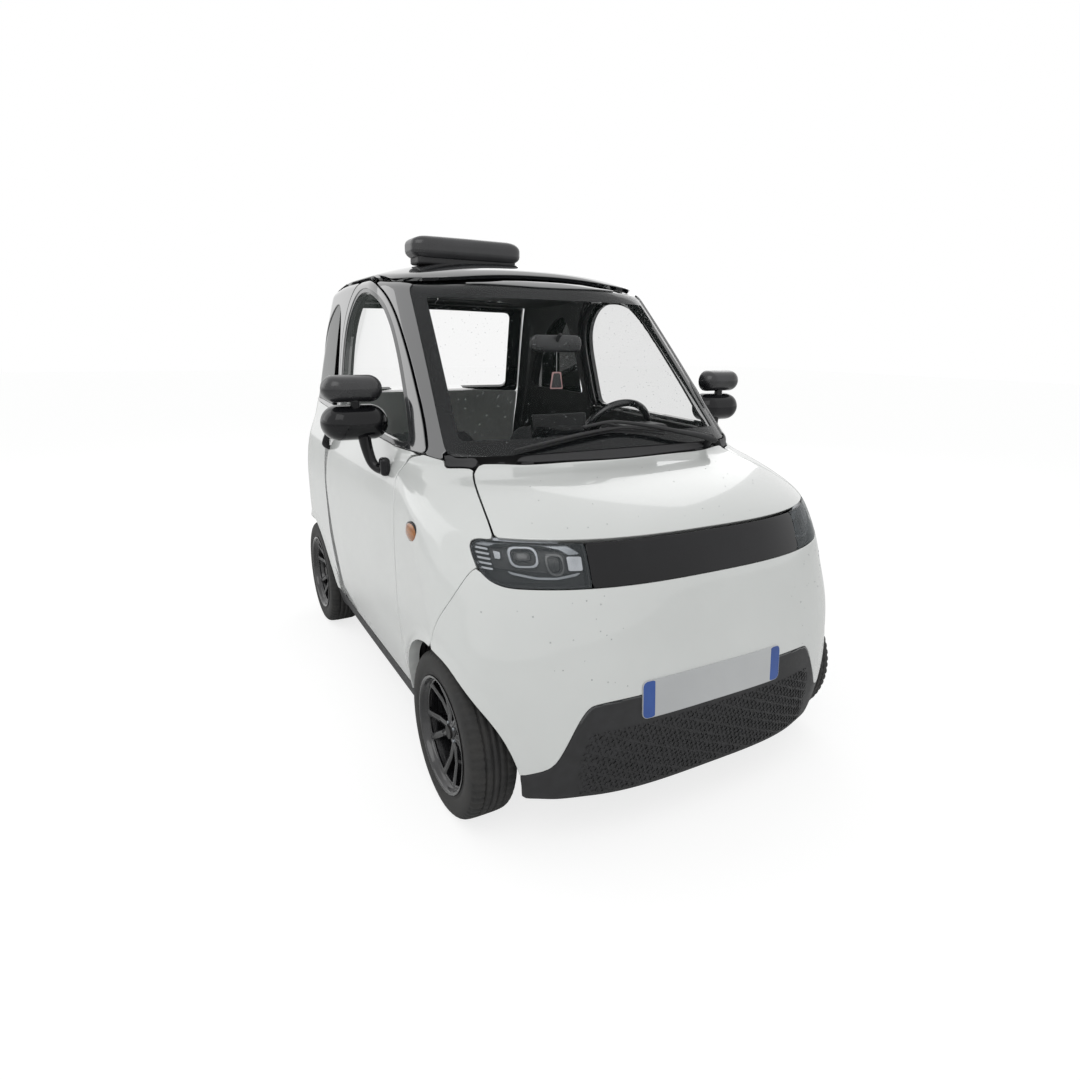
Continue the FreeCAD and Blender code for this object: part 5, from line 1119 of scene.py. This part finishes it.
for sign, word in SIDES:
    body = "door_%s_body" % word
    grip = [on_side(x, z, sign, lift) for x, z, lift in (
        (-0.408, 1.026, 0.004), (-0.412, 1.01, 0.02), (-0.424, 0.975, 0.024), (-0.433, 0.945, 0.018),
        (-0.436, 0.932, 0.002))]
    tube("door_handle_" + word, smooth_line(grip, 30), [0.01, 0.012, 0.0125, 0.012, 0.01], GLOSS, 18, 1.3, body=body)
    soft_box("door_handle_cup_" + word, on_side(-0.421, 0.978, sign, -0.004), (0.019, 0.006, 0.056),
             (0.012, 0.004, 0.018), INNER, body=body)
    for part, lift, half, radii, mat in (("", -0.001, (0.036, 0.01, 0.028), (0.035, 0.009, 0.0275), AMBER),
                                         ("rim_", -0.003, (0.04, 0.008, 0.032), (0.039, 0.006, 0.0315), GLOSS)):
        soft_box("side_marker_" + part + word, on_side(0.676, 0.84, sign, lift), half, radii, mat, 12,
                 turn=Matrix.Rotation(-sign * 0.1, 3, "Z"))

# Door cards and inner faces
for sign, word in SIDES:
    body = "door_%s_body" % word
    skin("door_card_" + word, (0.12 * sign, 0.8 * sign, 0.25, 1.12, 0.014),
         [grown(door_room, -0.022), off(belt_room, 0.004)], INNER, body, inset=0.04, depth=0.01)
    skin("door_frame_lining_" + word, (0.08 * sign, 0.86 * sign, 0.99, 1.6, 0.012),
         [grown(door_room, -0.016), belt_room, off(door_window_room, 0.01)], INNER, body, top=0.03, inset=0.04,
         depth=0.004)
    soft_box("door_rest_" + word, (0.1, sign * 0.612, 0.8), (0.2, 0.03, 0.026), 0.022, MATT, 8, body=body)

# Seals behind the seams
for sign, word in SIDES:
    skin("door_seal_" + word, (0.4 * sign, 0.86 * sign, 0.3, 1.61, 0.01), [along(door_room, 0.013), behind(0.02)],
         MATT, top=0.02, inset=0.038, depth=0.004)
    skin("tailgate_seal_" + word, (0.66 * sign, 0.999 * sign, 0.62, 1.63, 0.01),
         [along(grown(tailgate_room, 0.02), 0.04)], MATT, top=-0.02, inset=0.038, depth=0.004)


# Cabin fittings
def ring(name, centre, axis, radius, thick, material, sides=16, count=84, **on):
    """A steering wheel's rim about an axis."""
    axis = Vector(axis).normalized()
    a = axis.orthogonal().normalized()
    b = axis.cross(a)
    verts, faces = [], []
    for k in range(count):
        t = 2 * math.pi * k / count
        out = a * math.cos(t) + b * math.sin(t)
        for i in range(sides):
            u = 2 * math.pi * i / sides
            verts.append(Vector(centre) + out * (radius + thick * math.cos(u)) + axis * thick * 1.1 * math.sin(u))
            faces.append([k * sides + i, k * sides + (i + 1) % sides, (k + 1) % count * sides + (i + 1) % sides,
                          (k + 1) % count * sides + i])
    return new_object(name, verts, faces, None, material, **on)


TILT = math.radians(28)
WHEEL_HUB = Vector((0.173, 0.34, 1.0))
COLUMN, UP = Vector((-math.cos(TILT), 0, math.sin(TILT))), Vector((math.sin(TILT), 0, math.cos(TILT)))
on = dict(body="steering_body")
ring("steering_rim", WHEEL_HUB, COLUMN, 0.161, 0.0145, SATIN, slot="black_plastic", nodes=["steering_wheel"], **on)
soft_box("steering_pad", WHEEL_HUB + COLUMN * 0.004, (0.02, 0.06, 0.052), (0.016, 0.04, 0.036), SATIN, 8, 0.003,
         Matrix.Rotation(-TILT, 3, "Y"), **on)
for k, (across, up) in enumerate(((1, 0.12), (-1, 0.12), (0, -1))):
    out = (Vector((0, 1, 0)) * across + UP * up).normalized()
    tube("steering_spoke_%d" % (k + 1), [WHEEL_HUB + out * 0.035, WHEEL_HUB + out * 0.156], [0.015, 0.011], SATIN, 14,
         0.8, **on)
tube("steering_shaft", [WHEEL_HUB - COLUMN * 0.15, WHEEL_HUB - COLUMN * 0.012], 0.016, MATT, 16, **on)
soft_box("dash_pad", (0.43, 0, 0.99), (0.19, 0.585, 0.018), (0.05, 0.05, 0.016), MATT, 16, 0.004)
soft_box("instrument_hood", (0.315, 0.34, 1.034), (0.067, 0.134, 0.033), (0.03, 0.036, 0.028), MATT, 8)
soft_box("instrument_face", (0.252, 0.34, 1.03), (0.004, 0.112, 0.026), (0.003, 0.012, 0.012), GLOSS, 8)
soft_box("centre_screen", (0.262, 0.02, 1.058), (0.011, 0.116, 0.056), (0.006, 0.014, 0.014), GLOSS, 8,
         turn=Matrix.Rotation(-0.12, 3, "Y"))
soft_box("centre_screen_stand", (0.285, 0.02, 1.01), (0.02, 0.06, 0.022), 0.012, MATT, 6)
for k, y in enumerate((-0.54, 0.54)):
    name = "air_vent_%d" % (k + 1)
    soft_box(name, (0.206, y, 0.93), (0.016, 0.05, 0.03), (0.01, 0.014, 0.014), GLOSS, 6)
    for m in range(4):
        soft_box(name + "_vane_%d" % (m + 1), (0.189, y, 0.912 + 0.012 * m), (0.006, 0.042, 0.0018), 0.0017, MATT, 4)


def cushion(name, centre, half, radii, seams, turn=None, nodes=()):
    """A seat pad with pulled seams and soft folds. Seams are given by axis and place."""
    seam_deep, seam_wide = 0.01, 0.007
    obj = soft_box(name, (0, 0, 0), half, radii, FABRIC, 26, 0.014, body=None)
    rng = np.random.default_rng(7)
    folds = [(rng.uniform(8, 22, 3), rng.uniform(0, 6), rng.uniform(0.0006, 0.0016)) for _ in range(7)]
    for v in obj.data.vertices:
        p = np.array(v.co)
        away = p / np.array(half)
        away = away / max(np.linalg.norm(away), 1e-6)
        pull = sum(seam_deep * math.exp(-((p[axis] - at) / seam_wide) ** 2) for axis, at in seams)
        rise = sum(high * math.sin(float(f @ p) + phase) for f, phase, high in folds)
        v.co = Vector(p + away * (rise - pull))
    if turn is not None:
        obj.data.transform(turn.to_4x4())
    obj.data.transform(Matrix.Translation(centre))
    obj.data.update()
    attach(obj, CHASSIS)
    if nodes:
        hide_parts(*nodes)


for sign, word in SIDES:
    y = sign * 0.3
    cushion("seat_cushion_" + word, (-0.02, y, 0.43), (0.215, 0.205, 0.062), (0.05, 0.05, 0.045),
            ((1, 0.125), (1, -0.125), (0, 0.06)), nodes=["seats"] if sign > 0 else ())
    cushion("seat_back_" + word, (-0.252, y, 0.728), (0.052, 0.2, 0.262), (0.045, 0.06, 0.06),
            ((1, 0.12), (1, -0.12), (2, 0.05)), Matrix.Rotation(math.radians(-10), 3, "Y"))
    soft_box("seat_base_" + word, (-0.03, y, 0.364), (0.2, 0.18, 0.022), 0.015, MATT, 8)
soft_box("seat_console", (-0.04, 0, 0.405), (0.2, 0.07, 0.06), (0.03, 0.02, 0.02), MATT, 8)

# Inside mirror and a blank hanging tag
MIRROR_Y = -0.034
stem = [(x, MIRROR_Y, z) for x, z in ((0.352, 1.398), (0.34, 1.392), (0.33, 1.378))]
tube("inside_mirror_stem", smooth_line(stem, 10), 0.007, MATT)
soft_box("inside_mirror", (0.322, MIRROR_Y, 1.368), (0.012, 0.105, 0.03), (0.01, 0.026, 0.026), SATIN, 10)
soft_box("inside_mirror_face", (0.31, MIRROR_Y, 1.368), (0.0015, 0.099, 0.025), (0.001, 0.022, 0.022), MIRROR, 10)
string = [(0.327, MIRROR_Y, 1.348), (0.3285, -0.0335, 1.31), (0.33, MIRROR_Y, 1.268)]
tube("tag_string", smooth_line(string, 12), 0.0008, PLATE, 8)


def tag_piece(name, shrink, thick, material):
    """A flat tag that hangs across the car, wider at its foot."""
    top, low, half_top, half_low = 1.27 - shrink, 1.21 + shrink, 0.0175 - shrink, 0.0265 - shrink
    corners = softened(((-half_top, top), (half_top, top), (half_low, low), (-half_low, low)), 0.005)
    n = len(corners)
    verts = [(0.33 + x, MIRROR_Y + y, z) for x in (-thick, thick) for y, z in corners]
    faces = [list(range(n)), list(range(n, 2 * n))[::-1]]
    faces.extend([[k, (k + 1) % n, n + (k + 1) % n, n + k][::-1] for k in range(n)])
    new_object(name, verts, faces, None, material, smoothed=False)


tag_piece("tag_frame", 0.0, 0.0016, ROSE)
tag_piece("tag_face", 0.0045, 0.0021, SATIN)

# Rain drops
random.seed(11)


def drops(name, spots, body=CHASSIS):
    """One mesh of small domes, each at a place, along a normal and of a radius."""
    verts, faces = [], []
    for place, normal, r in spots:
        place, normal = Vector(place), Vector(normal).normalized()
        a = normal.orthogonal().normalized()
        b = normal.cross(a)
        base = len(verts)
        for wide, high in ((1.0, 0.0), (0.88, 0.32), (0.55, 0.55)):
            for i in range(8):
                t = math.pi * i / 4
                verts.append(place + (a * math.cos(t) + b * math.sin(t)) * r * wide + normal * r * (high - 0.05))
        verts.append(place + normal * r * 0.62)
        faces.extend([[base + v for v in face] for face in tube_faces(3, 8)])
        faces.extend([[base + 16 + i, base + 16 + (i + 1) % 8, base + 24] for i in range(8)])
    new_object(name, verts, faces, None, WATER, body=body)


def scattered(grid, keep, count, low, high):
    """Random places of a grid, each with its normal and a radius."""
    p, n = grid[0], grid[1]
    places = [tuple(q) for q in np.argwhere(keep)]
    return [(p[q], n[q], random.uniform(low, high)) for q in random.sample(places, min(count, len(places)))]


for sign, word in SIDES:
    grid = nose_grid(sign * 0.2, sign * 0.66, 0.32, 0.74, 0.004)
    p = grid[0]
    keep = (SEAM - grille_room(p) < -0.01) & (-arch_room(p) < -0.02) & (bumper_room(p) < -0.01) \
        & (np.abs(p[..., 1]) > 0.3)
    drops("bumper_drops_" + word, scattered(grid, keep, 46, 0.0012, 0.0024))
grid = nose_grid(-0.5, 0.5, 0.89, 0.99, 0.004)
drops("bonnet_drops", scattered(grid, bonnet_room(grid[0]) < -0.02, 26, 0.0011, 0.002), "bonnet_body")
grid = nose_grid(-0.5, 0.5, 1.05, 1.52, 0.005, 0.002)
drops("screen_drops", scattered(grid, screen_room(grid[0]) < -0.02, 620, 0.0009, 0.0024))

# Floor: white to the camera, grey enough to carry a shadow
bpy.ops.mesh.primitive_plane_add(size=60, location=(0, 0, 0))
floor = bpy.context.object
floor.name = "studio_floor"
mat, tree, bsdf = new_material("studio_floor")
feed(bsdf, {"Roughness": 0.9, "Base Color": (0.9, 0.9, 0.9, 1), "Specular IOR Level": 0.1})
glow = add(tree, "Emission", {"Color": (1, 1, 1, 1), "Strength": 1.25})
seen = add(tree, "Math", {0: add(tree, "LightPath").outputs["Is Camera Ray"], 1: 0.62}, "MULTIPLY")
share = add(tree, "MixShader", {0: seen.outputs["Value"], 1: bsdf.outputs["BSDF"], 2: glow.outputs["Emission"]})
feed(tree.nodes["Material Output"], {"Surface": share.outputs["Shader"]})
floor.data.materials.append(mat)

# World: white where it is seen, mirrored or looked at through glass, dimmer as a light
world = bpy.data.worlds.new("studio")
bpy.context.scene.world = world
world.use_nodes = True
tree = world.node_tree
tree.nodes.clear()
rays = add(tree, "LightPath").outputs
seen = add(tree, "Math", {0: rays["Is Camera Ray"], 1: rays["Is Glossy Ray"]}, "MAXIMUM")
more = add(tree, "Math", {0: seen.outputs["Value"], 1: rays["Is Transmission Ray"]}, "MAXIMUM")
dim = add(tree, "Background", {"Strength": 0.62, "Color": (0.97, 0.98, 0.97, 1)})
white = add(tree, "Background", {"Strength": 1.0, "Color": (1, 1, 1, 1)})
mix = add(tree, "MixShader", {0: more.outputs["Value"], 1: dim.outputs["Background"],
                              2: white.outputs["Background"]})
add(tree, "OutputWorld", {"Surface": mix.outputs["Shader"]})

for name, place, aim_z, power in (("key", (3.5, -2.5, 5.0), 0.7, 70), ("fill", (-3.0, -4.5, 3.5), 0.8, 40),
                                  ("back", (-4.0, 4.0, 4.0), 0.8, 40)):
    data = bpy.data.lights.new(name, "AREA")
    data.size, data.energy = 4.0, power
    obj = bpy.data.objects.new(name, data)
    obj.location = place
    aim = Vector((0.2 if name == "key" else 0, 0, aim_z))
    obj.rotation_euler = (aim - Vector(place)).to_track_quat("-Z", "Y").to_euler()
    bpy.context.scene.collection.objects.link(obj)

# Camera, as fitted to the photograph
IMAGE_PIXELS, FOCAL_PIXELS, SENSOR = 1080, 679.16, 36
EYE = (2.5134, -1.3099, 1.378)
YAW, PITCH, ROLL = 2.6334, 0.2856, 0.0127
lens = bpy.data.cameras.new("camera")
lens.lens = FOCAL_PIXELS / IMAGE_PIXELS * SENSOR
lens.sensor_width = SENSOR
camera = bpy.data.objects.new("camera", lens)
ahead = Vector((math.cos(YAW) * math.cos(PITCH), math.sin(YAW) * math.cos(PITCH), -math.sin(PITCH)))
level = ahead.cross(Vector((0, 0, 1))).normalized()
upright = level.cross(ahead)
right = level * math.cos(ROLL) + upright * math.sin(ROLL)
up = upright * math.cos(ROLL) - level * math.sin(ROLL)
camera.matrix_world = Matrix([(right[k], up[k], -ahead[k], EYE[k]) for k in range(3)] + [(0, 0, 0, 1)])
bpy.context.scene.collection.objects.link(camera)
bpy.context.scene.camera = camera
bpy.context.scene.view_settings.view_transform = "Standard"
